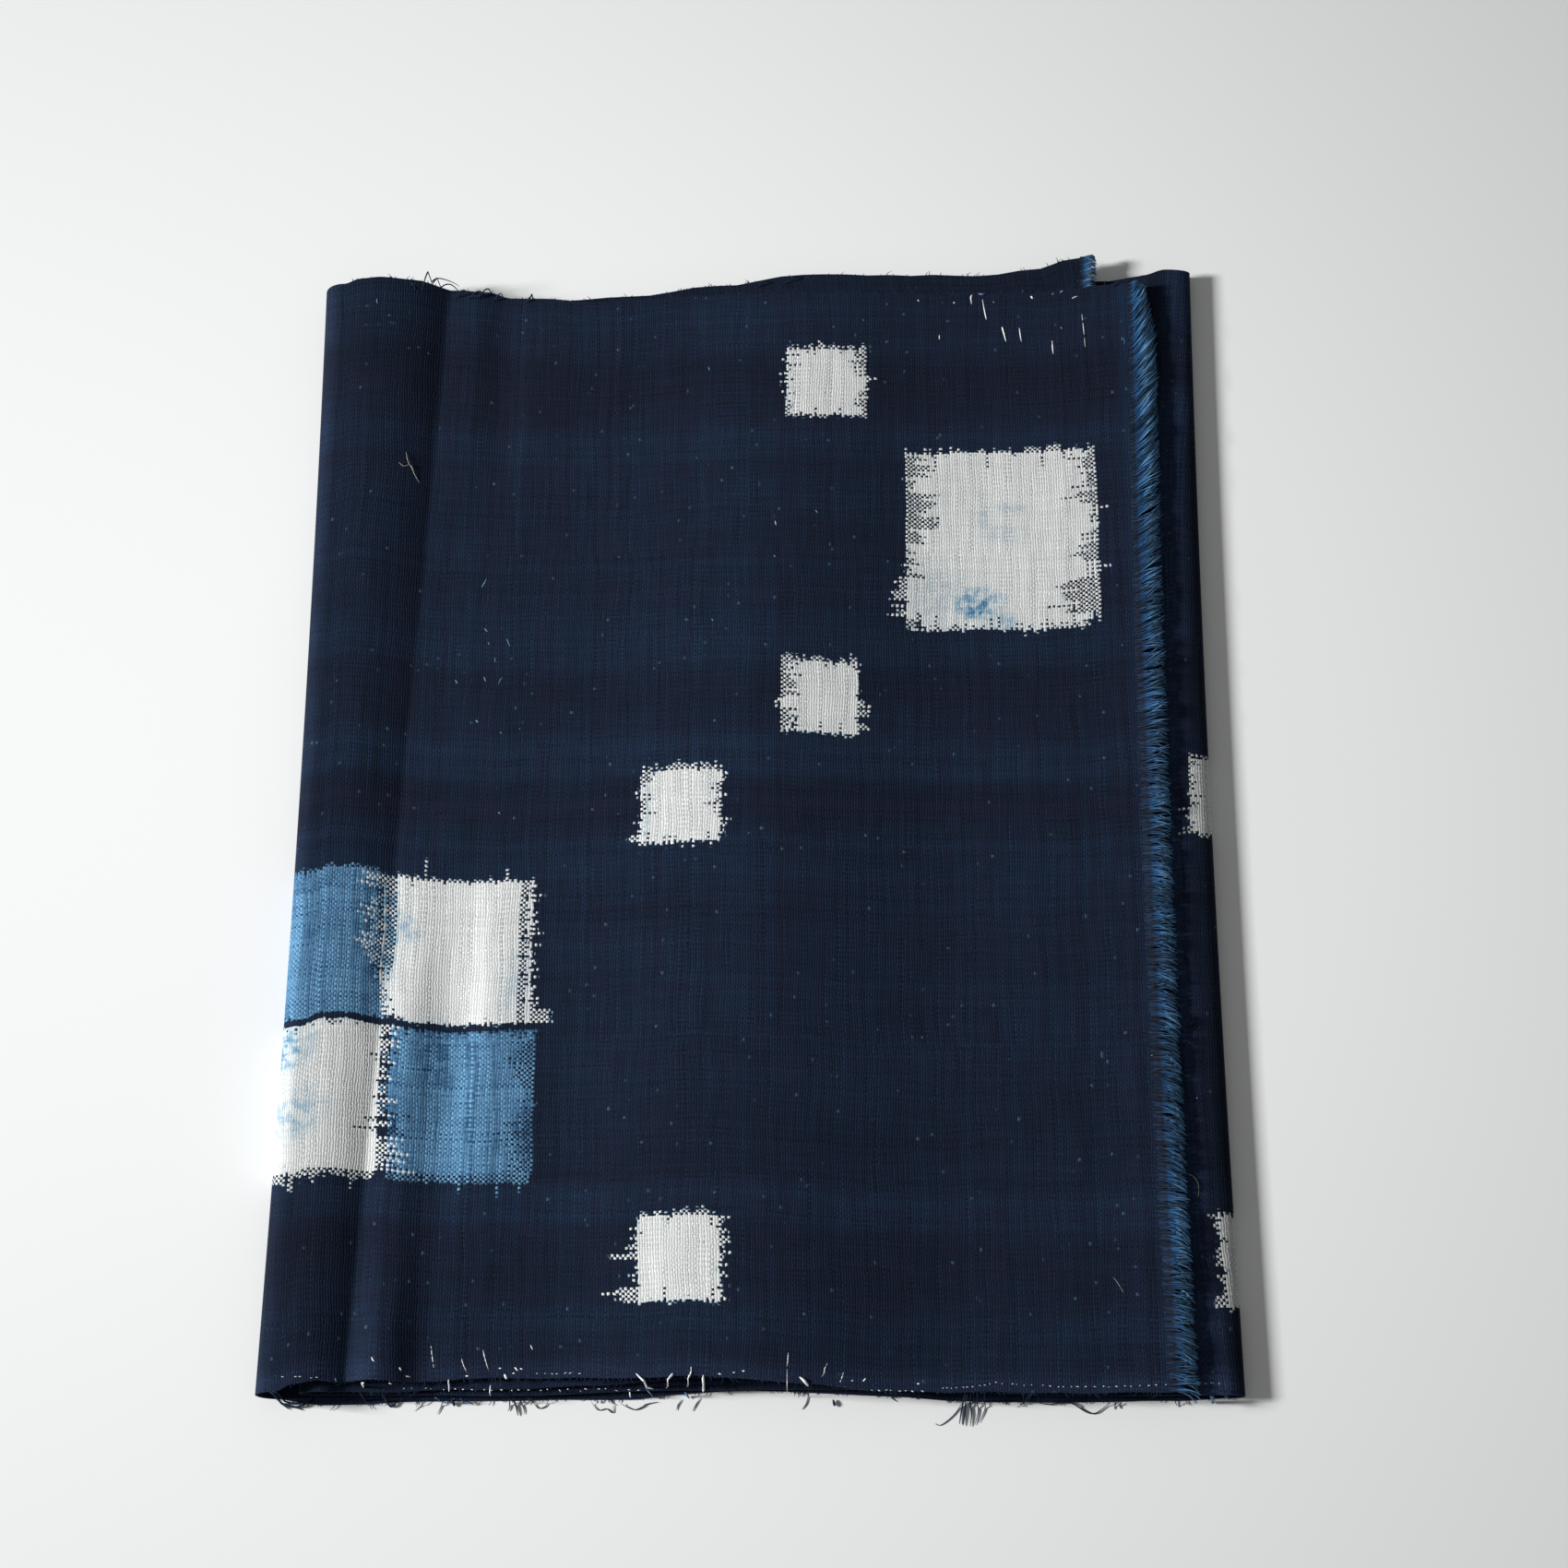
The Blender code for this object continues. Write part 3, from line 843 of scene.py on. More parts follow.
        # The pattern comes again along the warp, except for a slip that happened once
        middle = add(tree, "Math", number, yarns.pitch, 0.5 * yarns.pitch, operation="MULTIPLY_ADD")
        again = add(tree, "Math", middle if is_weft else along, REPEAT, 0.0, operation="WRAP")
        repeated = (again, along) if is_weft else (middle, again)
        masks: dict[Dye, Socket | float] = dict.fromkeys(Dye, 0.0)
        for block in self.blocks:
            place = (middle, along) if block.once else repeated
            amount = block.weft_ragged if is_weft else block.warp_ragged
            for bundle in block.wefts if is_weft else block.warps:
                mask = self.bare_mask(tree, *place, short, bundle, amount)
                masks[block.dye] = add(tree, "Math", masks[block.dye], mask, operation="MAXIMUM")
        tone = self.yarn_tone(tree, number, along, single.outputs["Z"], yarns.tone_length)
        navy = self.dyed_navy(tree, vat, tone, grouped.outputs["Z"], yarns.navy)
        # The navy takes the painted light and shade of the right fold and the south selvedge
        navy = add(tree, "VectorMath", navy, named={"Scale": painted_tone_and_wear}, operation="SCALE")
        pale = add(tree, "MapRange", tone, *yarns.pale)
        pale = add(tree, "MixRGB", pale, linear(self.pale_low), linear(self.pale_high))
        white = add(tree, "MapRange", tone, *yarns.white)
        white = add(tree, "MixRGB", white, linear(self.white_low), linear(self.white_high))
        crept = add(tree, "MapRange", tone, *self.staining)
        crept = add(tree, "Math", crept, stain, operation="MULTIPLY")
        deep = add(tree, "MapRange", crept, *self.deep_staining)
        crept = add(tree, "Math", crept, 0.0, operation="ADD", use_clamp=True)
        pale = add(tree, "MixRGB", crept, pale, linear(self.pale_low))
        white = add(tree, "MixRGB", crept, white, linear(self.stain_blue))
        white = add(tree, "MixRGB", deep, white, linear(self.deep_stain))
        colour = add(tree, "MixRGB", masks[Dye.PALE], navy, pale)
        bleed = add(tree, "MapRange", masks[Dye.WHITE], 0.0, self.bleed, interpolation_type="SMOOTHSTEP")
        colour = add(tree, "MixRGB", bleed, colour, linear(self.ice_blue))
        full = add(tree, "MapRange", masks[Dye.WHITE], self.bleed, 1.0, interpolation_type="SMOOTHSTEP")
        return add(tree, "MixRGB", full, colour, white)

    def set_curve(self, node: bpy.types.Node, stops: Sequence[tuple[float, float]]) -> None:
        """Set the points of a curve node."""
        mapping = node.mapping
        mapping.use_clip = False
        curve = mapping.curves[0]
        while len(curve.points) < len(stops):
            curve.points.new(0.5, 0.0)
        for point, stop in zip(curve.points, stops):
            point.location = stop
        mapping.update()

    def bare_mask(
        self, tree: Tree, middle: Socket, along: Socket, short: list[Socket], bundle: Bundle, amount: float,
    ) -> Socket:
        """Where the yarns of one bundle are undyed.

        Args:
            tree: the material's node tree.
            middle: place of the yarn's middle, across the yarns.
            along: place along the yarn.
            short: how far the two ends of the bare stretch fall short, in millimetres.
            bundle: the yarns that were bound and where.
            amount: how ragged the ends are.

        Returns:
            1 where a yarn is bare, 0 where it took the dye.
        """
        centre = 0.5 * (bundle.first_yarn + bundle.last_yarn)
        half = 0.5 * (bundle.last_yarn - bundle.first_yarn)
        mask = add(tree, "Math", middle, centre, half, operation="COMPARE")
        for far, end, inward in ((short[0], bundle.bare_from, 1.0), (short[1], bundle.bare_to, -1.0)):
            edge = add(tree, "Math", far, -inward * amount, along, operation="MULTIPLY_ADD")
            soft = inward * self.soft_end
            edge = add(tree, "MapRange", edge, end - soft, end + soft, interpolation_type="SMOOTHSTEP")
            mask = add(tree, "Math", mask, edge, operation="MULTIPLY")
        return mask

    def yarn_tone(self, tree: Tree, number: Socket, along: Socket, own: Socket, length: float) -> Socket:
        """Tone of hand-spun yarn, from 0 to 1: its own, and a change every centimetre or two along it."""
        along = add(tree, "Math", along, 1.0 / length, operation="MULTIPLY")
        seed = add(tree, "CombineXYZ", number, along, 0.0)
        tone = add(tree, "TexNoise", seed, named={"Scale": 0.9, "Detail": 2.0}, noise_dimensions="2D")
        tone = add(tree, "MapRange", tone, 0.3, 0.7, 0.0, 0.5)
        return add(tree, "Math", own, 0.5, tone, operation="MULTIPLY_ADD")

    def dyed_navy(self, tree: Tree, vat: Socket, tone: Socket, hue: Socket, brightness: Ramp) -> Socket:
        """Navy of the vat: its depth, a violet cast in some yarns, and the yarn's own tone."""
        colour = add(tree, "MixRGB", vat, linear(self.deep_navy), linear(self.blue_navy))
        violet = add(tree, "MapRange", hue, *self.violet)
        colour = add(tree, "MixRGB", violet, colour, linear(self.violet_navy))
        bright = add(tree, "MapRange", tone, *brightness)
        return add(tree, "VectorMath", colour, named={"Scale": bright}, operation="SCALE")

    def holed(
        self, tree: Tree, colour: Socket, weft_gap: Socket, warp_gap: Socket, weft_number: Socket,
        weft_place: Socket,
    ) -> Socket:
        """Paint shade into the holes between four yarns, more where the weft was beaten in loosely."""
        painted_hole_shade = add(tree, "Math", weft_gap, warp_gap, operation="ADD")
        painted_hole_shade = add(tree, "MapRange", painted_hole_shade, *self.painted_hole_shade, interpolation_type="SMOOTHSTEP")
        along = add(tree, "Math", weft_place, self.loose_length, operation="DIVIDE")
        seed = add(tree, "CombineXYZ", weft_number, along, 0.0)
        loose = add(tree, "TexNoise", seed, named={"Scale": 0.7, "Detail": 1.0}, noise_dimensions="2D")
        loose = add(tree, "MapRange", loose, *self.loose)
        painted_hole_shade = add(tree, "Math", painted_hole_shade, loose, operation="MULTIPLY")
        return add(tree, "MixRGB", painted_hole_shade, colour, linear(self.deep_navy))

    def flecked(self, tree: Tree, colour: Socket, weft_number: Socket, weft_place: Socket) -> Socket:
        """Add pale flecks a millimetre long, where lint and undyed fibre sit on single yarns."""
        spot = add(tree, "Math", weft_place, self.fleck_length, operation="DIVIDE")
        spot = add(tree, "Math", spot, operation="FLOOR")
        seed = add(tree, "CombineXYZ", weft_number, spot, 5.0)
        fleck = add(tree, "TexWhiteNoise", seed, noise_dimensions="3D")
        fleck = add(tree, "MapRange", fleck, *self.fleck)
        return add(tree, "MixRGB", fleck, colour, linear(self.fleck_blue))


@dataclass(frozen=True)
class FadedWarpYarn:
    """Frayed indigo warp ends, rubbed and faded to a mid blue, some strands paler than others. Along each
    strand there is painted shade at the root and the curled tip, and a painted highlight on the outer part
    where the light catches it.
    """

    name: str = "faded_warp_yarn"
    root: str = "#15243a"
    body: str = "#244f78"
    light: str = "#6191b9"
    tip: str = "#407099"
    # How far out the root, the body and the light stretch of a strand lie: painted shade at the root, a
    # painted highlight on the light stretch, and painted shade again at the tip
    places: tuple[float, ...] = (0.14, 0.36, 0.66)
    tones: Ramp = Ramp(0.0, 2.0, 0.4, 4.4)
    roughness: float = 0.95

    def build(self) -> bpy.types.Material:
        """Make the material, which reads a strand's tone and how far out a point is."""
        material, tree = new_material(self.name)
        out = add(tree, "Attribute", attribute_name="out", output="Fac")
        # Painted shade at the root and the tip, and a painted highlight between them
        ramp = add(tree, "ValToRGB", out)
        stops = ramp.node.color_ramp.elements
        stops[0].color = linear(self.root)
        stops[1].color = linear(self.tip)
        for place, colour in zip(self.places, (self.root, self.body, self.light)):
            stops.new(place).color = linear(colour)
        tone = add(tree, "Attribute", attribute_name="tone", output="Fac")
        tone = add(tree, "MapRange", tone, *self.tones)
        colour = add(tree, "VectorMath", ramp, named={"Scale": tone}, operation="SCALE")
        shader = add(tree, "BsdfPrincipled", named={
            "Base Color": colour,
            "Roughness": self.roughness,
            "Specular IOR Level": 0.15,
            "Sheen Weight": 0.05,
        })
        add(tree, "OutputMaterial", shader)
        return material


@dataclass(frozen=True)
class SpunYarn:
    """Loose hand-spun cotton yarn: matt and uneven, paler and darker every millimetre."""

    name: str
    colour: str
    unevenness: Ramp = Ramp(0.35, 0.65, 0.75, 1.15)
    roughness: float = 0.95

    def build(self) -> bpy.types.Material:
        """Make the material."""
        material, tree = new_material(self.name)
        place = add(tree, "TexCoord", output="Object")
        uneven = add(tree, "TexNoise", place, named={"Scale": 900.0, "Detail": 2.0})
        tone = add(tree, "MapRange", uneven, *self.unevenness)
        colour = add(tree, "VectorMath", linear(self.colour)[:3], named={"Scale": tone}, operation="SCALE")
        bump = add(tree, "Bump", named={"Strength": 0.4, "Distance": 0.0001, "Height": uneven},
                   output="Normal")
        shader = add(tree, "BsdfPrincipled", named={
            "Base Color": colour,
            "Roughness": self.roughness,
            "Specular IOR Level": 0.15,
            "Normal": bump,
        })
        add(tree, "OutputMaterial", shader)
        return material


def link(piece: Piece) -> Piece:
    """Put a new object in the scene."""
    bpy.context.scene.collection.objects.link(piece)
    return piece


def meshed(piece: Piece) -> Piece:
    """Turn a curve, or a mesh with modifiers, into a plain mesh piece of the same name.

    Args:
        piece: the object to read, which is removed.

    Returns:
        A mesh object at the origin that looks the same.
    """
    graph = bpy.context.evaluated_depsgraph_get()
    mesh = bpy.data.meshes.new_from_object(piece.evaluated_get(graph), depsgraph=graph)
    name = piece.name
    bpy.data.objects.remove(piece)
    mesh.name = name
    return link(bpy.data.objects.new(name, mesh))


@dataclass
class FoldedSheet:
    """The folded cloth itself, as a thin sheet on the folds of its plan."""

    plan: FoldPlan
    finish: WovenIndigoCotton
    rows: int = 120
    # The way round the roll is longer at the south, and the bottom layer makes up for it
    ease: float = 8.4
    # From rows that crowd at the selvedges, 0, to rows at equal steps, 1
    evenness: float = 0.6
    sharp_angle: float = 60.0

    def build(self) -> Piece:
        """Build the sheet: a flat grid moved onto the section, then given its thickness."""
        shares = [0.5 - 0.5 * math.cos(math.pi * row / self.rows) for row in range(self.rows + 1)]
        shares = [mix(share, row / self.rows, self.evenness) for row, share in enumerate(shares)]
        sections = [self.plan.section_at(share) for share in shares]
        distances = [self.warp_distances(section, share) for section, share in zip(sections, shares)]
        columns = len(sections[0]) - 1
        shape = bmesh.new()
        bmesh.ops.create_grid(shape, x_segments=columns, y_segments=self.rows, size=1.0)
        flat = shape.loops.layers.uv.new("flat")
        for vertex in shape.verts:
            column = round((vertex.co.x + 1.0) * 0.5 * columns)
            row = round((1.0 - vertex.co.y) * 0.5 * self.rows)
            point = sections[row][column]
            y = self.plan.edge_y(point.layers, shares[row])
            vertex.co = (point.x * MM, y * MM, point.z * MM)
            place = (distances[row][column] * MM, (0.5 - shares[row]) * FLAT_WIDTH * MM)
            for loop in vertex.link_loops:
                loop[flat].uv = place
        bmesh.ops.recalc_face_normals(shape, faces=shape.faces)
        mesh = bpy.data.meshes.new("folded_cloth")
        shape.to_mesh(mesh)
        shape.free()
        mesh.materials.append(self.finish.build())
        piece = link(bpy.data.objects.new("folded_cloth", mesh))
        wall = piece.modifiers.new("thickness", "SOLIDIFY")
        wall.thickness = 2.0 * self.plan.half_thickness * MM
        wall.offset = 0.0
        wall.use_even_offset = True
        piece = meshed(piece)
        piece.data.shade_smooth()
        piece.data.set_sharp_from_angle(angle=math.radians(self.sharp_angle))
        return piece

    def warp_distances(self, section: list[SheetPoint], share: float) -> list[float]:
        """Warp distance of each point of a section, counted from a straight weft yarn.

        Args:
            section: the points of the section.
            share: its place between the selvedges.

        Returns:
            One distance for each point.
        """
        bottom = Layer.BOTTOM.value
        distances = [self.plan.lines["top cut"].middle - section[0].x]
        for before, after in zip(section, section[1:]):
            step = math.hypot(after.x - before.x, after.z - before.z)
            if after.layers > bottom and before.layers < bottom + 1.0:
                part = min(after.layers, bottom + 1.0) - max(before.layers, bottom)
                step -= self.ease * (share - 0.5) * part
            distances.append(distances[-1] + step)
        return distances


def yarn_curve(name: str, radius: float, resolution: int) -> bpy.types.Curve:
    """An empty curve whose splines become round yarns.

    Args:
        name: name of the piece.
        radius: radius of a yarn whose points have radius 1, in millimetres.
        resolution: how finely its section is rounded.

    Returns:
        The curve.
    """
    curve = bpy.data.curves.new(name, "CURVE")
    curve.dimensions = "3D"
    curve.bevel_depth = radius * MM
    curve.bevel_resolution = resolution
    curve.use_fill_caps = True
    return curve


def add_yarn(curve: bpy.types.Curve, points: list[Vector], radii: Sequence[float]) -> None:
    """Add one yarn through points in millimetres, with a share of the curve's radius at each."""
    spline = curve.splines.new("POLY")
    spline.points.add(len(points) - 1)
    for made, point, radius in zip(spline.points, points, radii):
        made.co = (point.x * MM, point.y * MM, point.z * MM, 1.0)
        made.radius = radius


def yarn_piece(curve: bpy.types.Curve, finish: bpy.types.Material) -> Piece:
    """Make one mesh piece of all the yarns of a curve, named as the curve is."""
    curve.materials.append(finish)
    piece = meshed(link(bpy.data.objects.new(curve.name, curve)))
    piece.data.shade_smooth()
    return piece


@dataclass
class WarpFringe:
    """Frayed warp ends beside a cut, which cling together in clumps."""

    name: str
    plan: FoldPlan
    finish: bpy.types.Material
    layer: Layer
    cut: str
    layers: float
    strands: int
    reach: Course
    lean: Course
    seed: int
    radius: float = 0.19
    # A strand's thickness at its tip, as a share of that at its root
    tip: float = 0.5
    steps: int = 7
    # Width of a clump, and how far that width wanders
    clump: float = 1.45
    clump_drift: float = 0.9
    # What chance gives a clump as a whole: lean, reach, rise and gathering to its middle
    clump_lean: Span = (-0.15, 0.15)
    clump_reach: Span = (-0.07, 0.05)
    clump_rise: Span = (0.1, 1.1)
    clump_gather: Span = (-0.1, 0.25)
    # What it gives each strand besides
    strand_shift: Span = (-0.45, 0.45)
    strand_reach: Span = (-0.1, 0.06)
    strand_lean: Span = (-0.3, 0.3)
    strand_rise: Span = (0.0, 0.5)
    strand_wave: Span = (-0.55, 0.55)
    strand_phase: Span = (0.0, 6.0)
    # Share of the width that stays free at each selvedge
    margin: float = 0.0005
    # How far strands start behind the cut, from least to most
    rooted: Span = (0.3, 1.3)
    # How much of its reach a tip loses by curling, and how far down it may hang
    curl: float = 0.12
    hang: float = 4.8
    # Height of a root over the middle of the sheet, and of a tip over the layer below
    root_lift: float = 0.35
    tip_lift: float = 0.2
    # Over one, most strands are dark and few are pale
    paleness: float = 2.1
    # Strands beside the north selvedge are worn down to this share, over this share of the width
    shortest: float = 0.45
    worn_down: float = 0.085
    # Over one, strands crowd towards the north selvedge
    crowding: float = 1.0
    # How far strands may stand out past the north selvedge
    overhang: float = 0.3

    def build(self) -> Piece:
        """Build the strands as bevelled curves and join them in one mesh."""
        chance = random.Random(self.seed)
        curve = yarn_curve(self.name, self.radius, 0)
        for index in range(self.strands):
            share = (index + 0.5 + chance.uniform(*self.strand_shift)) / self.strands
            share = min(max(share, self.margin), 1.0 - self.margin)
            self.add_strand(curve, share ** self.crowding, chance)
        piece = yarn_piece(curve, self.finish)
        self.mark_out(piece.data)
        return piece

    def add_strand(self, curve: bpy.types.Curve, share: float, chance: random.Random) -> None:
        """Add one strand, which leans and droops with its clump."""
        drift = self.clump_drift * noise.noise(Vector((share * 40.0, self.seed, 4.0)))
        across = share * FLAT_WIDTH / self.clump + drift
        clump = math.floor(across)
        clump_chance = random.Random(clump * 31 + self.seed)
        clump_lean = clump_chance.uniform(*self.clump_lean)
        clump_reach = clump_chance.uniform(*self.clump_reach)
        clump_rise = clump_chance.uniform(*self.clump_rise)
        gather = (0.5 + clump - across) * self.clump * clump_chance.uniform(*self.clump_gather)
        cut_x = self.plan.line_x(self.cut, share)
        reach = self.reach_at(share) * (1.0 + clump_reach + chance.uniform(*self.strand_reach))
        lean = self.lean.at(share) + clump_lean + chance.uniform(*self.strand_lean)
        root_y = self.plan.edge_y(self.layers, share)
        root_z = self.plan.height(self.layer, cut_x, share)
        rise = clump_rise + chance.uniform(*self.strand_rise)
        wave = chance.uniform(*self.strand_wave)
        phase = chance.uniform(*self.strand_phase)
        start = -mix(*self.rooted, chance.random() ** 2.0)
        limit = self.plan.edge_y(self.layers, 0.0) + self.overhang
        points = []
        radii = []
        for step in range(self.steps + 1):
            part = step / self.steps
            out = mix(start, reach, part)
            gone = max(out, 0.0) / reach
            x = cut_x + out - self.curl * reach * gone ** 3
            y = root_y + lean * reach * gone ** 1.2 + gather * gone * gone
            y = min(y + wave * gone * math.sin(phase + 4.0 * part), limit)
            under = self.plan.height(Layer.THIRD, x, share) + self.plan.half_thickness
            fall = max(under + self.tip_lift + 0.7 * rise, root_z - self.hang)
            arched = 0.8 * rise * math.sin(math.pi * min(gone, 1.0))
            z = mix(root_z + self.root_lift, fall, gone ** 3.0) + arched
            points.append(Vector((x, y, z)))
            radii.append(mix(1.0, self.tip, part * part))
        add_yarn(curve, points, radii)

    def reach_at(self, share: float) -> float:
        """How far strands reach past the cut at a share of the width."""
        return self.reach.at(share) * mix(self.shortest, 1.0, min(share / self.worn_down, 1.0))

    def mark_out(self, mesh: bpy.types.Mesh) -> None:
        """Store each strand's tone, and how far out each point is, from 0 to 1."""
        outs = mesh.attributes.new("out", "FLOAT", "POINT")
        tones = mesh.attributes.new("tone", "FLOAT", "POINT")
        chance = random.Random(self.seed + 1)
        strand_tones = [chance.random() ** self.paleness for _ in range(self.strands)]
        points_each = len(mesh.vertices) // self.strands
        for index, vertex in enumerate(mesh.vertices):
            strand = min(index // points_each, self.strands - 1)
            share = ((strand + 0.5) / self.strands) ** self.crowding
            out = (vertex.co.x / MM - self.plan.line_x(self.cut, share)) / self.reach_at(share)
            outs.data[index].value = min(max(out, 0.0), 1.0)
            tones.data[index].value = strand_tones[strand]


@dataclass(frozen=True)
class YarnEnd:
    """A short end of yarn on the cloth, through points given by X and Y.

    It is thickest at the place called fat, from 0 at its first point to 1 at its last. Beads
    are its humps between the warp yarns that cross it, and lift raises its middle.
    """

    points: tuple[tuple[float, float], ...]
    width: float
    fat: float = 0.5
    beads: int = 0
    lift: float = 0.0


@dataclass(frozen=True)
class StitchRow:
    """A row of running stitches along a selvedge, of which only dots show."""

    start: tuple[float, float]
    end: tuple[float, float]
    stitches: int
    sag: float = 0.0


@dataclass
class YarnEnds:
    """Ends of yarn of one kind, lying on the cloth or standing off its edges."""

    name: str
    plan: FoldPlan
    finish: bpy.types.Material
    ends: tuple[YarnEnd, ...]
    rows: tuple[StitchRow, ...] = ()
    seed: int = 3
    # How deep the ends are sunk in the cloth, and how thick they are made, in shares of their width
    sunk: float = 0.12
    thinned: float = 0.66
    # Thickness at the two tips, and between beads, as a share of the whole
    tip: float = 0.3
    waist: float = 0.35
    # Least height of a raised end beside the cloth, as a share of its lift
    hover: float = 0.4
    steps: int = 6
    # What chance gives a stitch: shift along and across its row, half length, slope and width
    stitch_shift: Span = (-0.3, 0.3)
    stitch_rise: Span = (-0.15, 0.15)
    stitch_half: Span = (0.12, 0.42)
    stitch_slope: Span = (-0.35, 0.35)
    stitch_width: Span = (0.28, 0.5)

    def build(self) -> Piece:
        """Build the ends and stitches as bevelled curves and join them in one mesh."""
        chance = random.Random(self.seed)
        curve = yarn_curve(self.name, 1.0, 1)
        for row in self.rows:
            for index in range(row.stitches):
                part = (index + 0.5 + chance.uniform(*self.stitch_shift)) / row.stitches
                x = mix(row.start[0], row.end[0], part)
                y = mix(row.start[1], row.end[1], part) - row.sag * arch(part)
                y += chance.uniform(*self.stitch_rise)
                half = chance.uniform(*self.stitch_half)
                slope = chance.uniform(*self.stitch_slope)
                points = ((x - half, y - half * slope), (x + half, y + half * slope))
                self.add_end(curve, YarnEnd(points, chance.uniform(*self.stitch_width)))
        for end in self.ends:
            self.add_end(curve, end)
        return yarn_piece(curve, self.finish)

    def add_end(self, curve: bpy.types.Curve, end: YarnEnd) -> None:
        """Add one end of yarn on a smooth way through its points."""
        way = self.smooth_way(end.points)
        points = []
        radii = []
        for index, place in enumerate(way):
            part = index / (len(way) - 1)
            # The place along the end, stretched so that halfway comes where it is thickest
            after = 1.0 - 0.5 * (1.0 - part) / (1.0 - end.fat)
            skew = 0.5 * part / end.fat if part < end.fat else after
            radius = 0.5 * self.thinned * end.width * mix(self.tip, 1.0, math.sin(math.pi * skew))
            if end.beads:
                radius *= mix(self.waist, 1.0, abs(math.sin(math.pi * end.beads * part)))
            ground = max(self.plan.surface(place.x, place.y), end.lift * self.hover)
            z = ground - self.sunk * end.width + end.lift * math.sin(math.pi * part)
            z = max(z, 0.5 * end.width)
            points.append(Vector((place.x, place.y, z)))
            radii.append(radius)
        add_yarn(curve, points, radii)

    def smooth_way(self, corners: tuple[tuple[float, float], ...]) -> list[Vector]:
        """Points on a smooth curve through the charted ones."""
        ends = [Vector(corner) for corner in (corners[0], *corners, corners[-1])]
        way = []
        for before, first, second, after in zip(ends, ends[1:], ends[2:], ends[3:]):
            for step in range(self.steps):
                t = step / self.steps
                pull = (second - before) * (t - 2.0 * t * t + t ** 3) + (after - first) * (t ** 3 - t * t)
                way.append(first + (second - first) * (3.0 * t * t - 2.0 * t ** 3) + pull * 0.5)
        return way + [ends[-1]]


@dataclass
class SelvedgeFuzz:
    """Fine hairs and nicks that stand off the selvedges of the layers that show."""

    name: str
    plan: FoldPlan
    finish: bpy.types.Material
    hairs: int = 900
    seed: int = 11
    radius: float = 0.09
    # Most hairs have about the shortest length, and a few get nearly this much more
    shortest: float = 0.35
    longer: float = 1.3
    # What chance gives a hair: place along its layer, height on its edge, slant and droop
    part: Span = (0.01, 0.99)
    height: Span = (-0.2, 0.2)
    slant: Span = (-1.2, 1.2)
    droop: Span = (-0.2, 0.35)
    # How far inside the edge a hair is rooted, its least height, and its thickness from root to tip
    rooted: float = 0.25
    lowest: float = 0.15
    taper: tuple[float, ...] = (1.6, 1.1, 0.5)

    def build(self) -> Piece:
        """Build the hairs as bevelled curves and join them in one mesh."""
        chance = random.Random(self.seed)
        curve = yarn_curve(self.name, self.radius, 0)
        for _ in range(self.hairs):
            self.add_hair(curve, chance)
        return yarn_piece(curve, self.finish)

    def add_hair(self, curve: bpy.types.Curve, chance: random.Random) -> None:
        """Add one hair, which leaves an edge and bends along it."""
        layer = chance.choice((Layer.TOP, Layer.TOP, Layer.BOTTOM, Layer.SECOND))
        share = chance.choice((0.0, 1.0))
        outward = 1.0 if share == 0.0 else -1.0
        part = chance.uniform(*self.part)
        first_x, last_x = (self.plan.line_x(name, share) for name in self.plan.ends[layer])
        x = mix(first_x, last_x, part)
        y = self.plan.edge_y(layer.value + part, share)
        z = self.plan.height(layer, x, share) + chance.uniform(*self.height)
        length = self.shortest + self.longer * chance.random() ** 4
        slant = chance.uniform(*self.slant)
        droop = chance.uniform(*self.droop)
        points = [
            Vector((x, y - self.rooted * outward, z)),
            Vector((x + 0.3 * slant * length, y + 0.5 * length * outward, z - 0.3 * droop)),
            Vector((x + slant * length, y + length * outward, max(z - droop, self.lowest))),
        ]
        add_yarn(curve, points, self.taper)


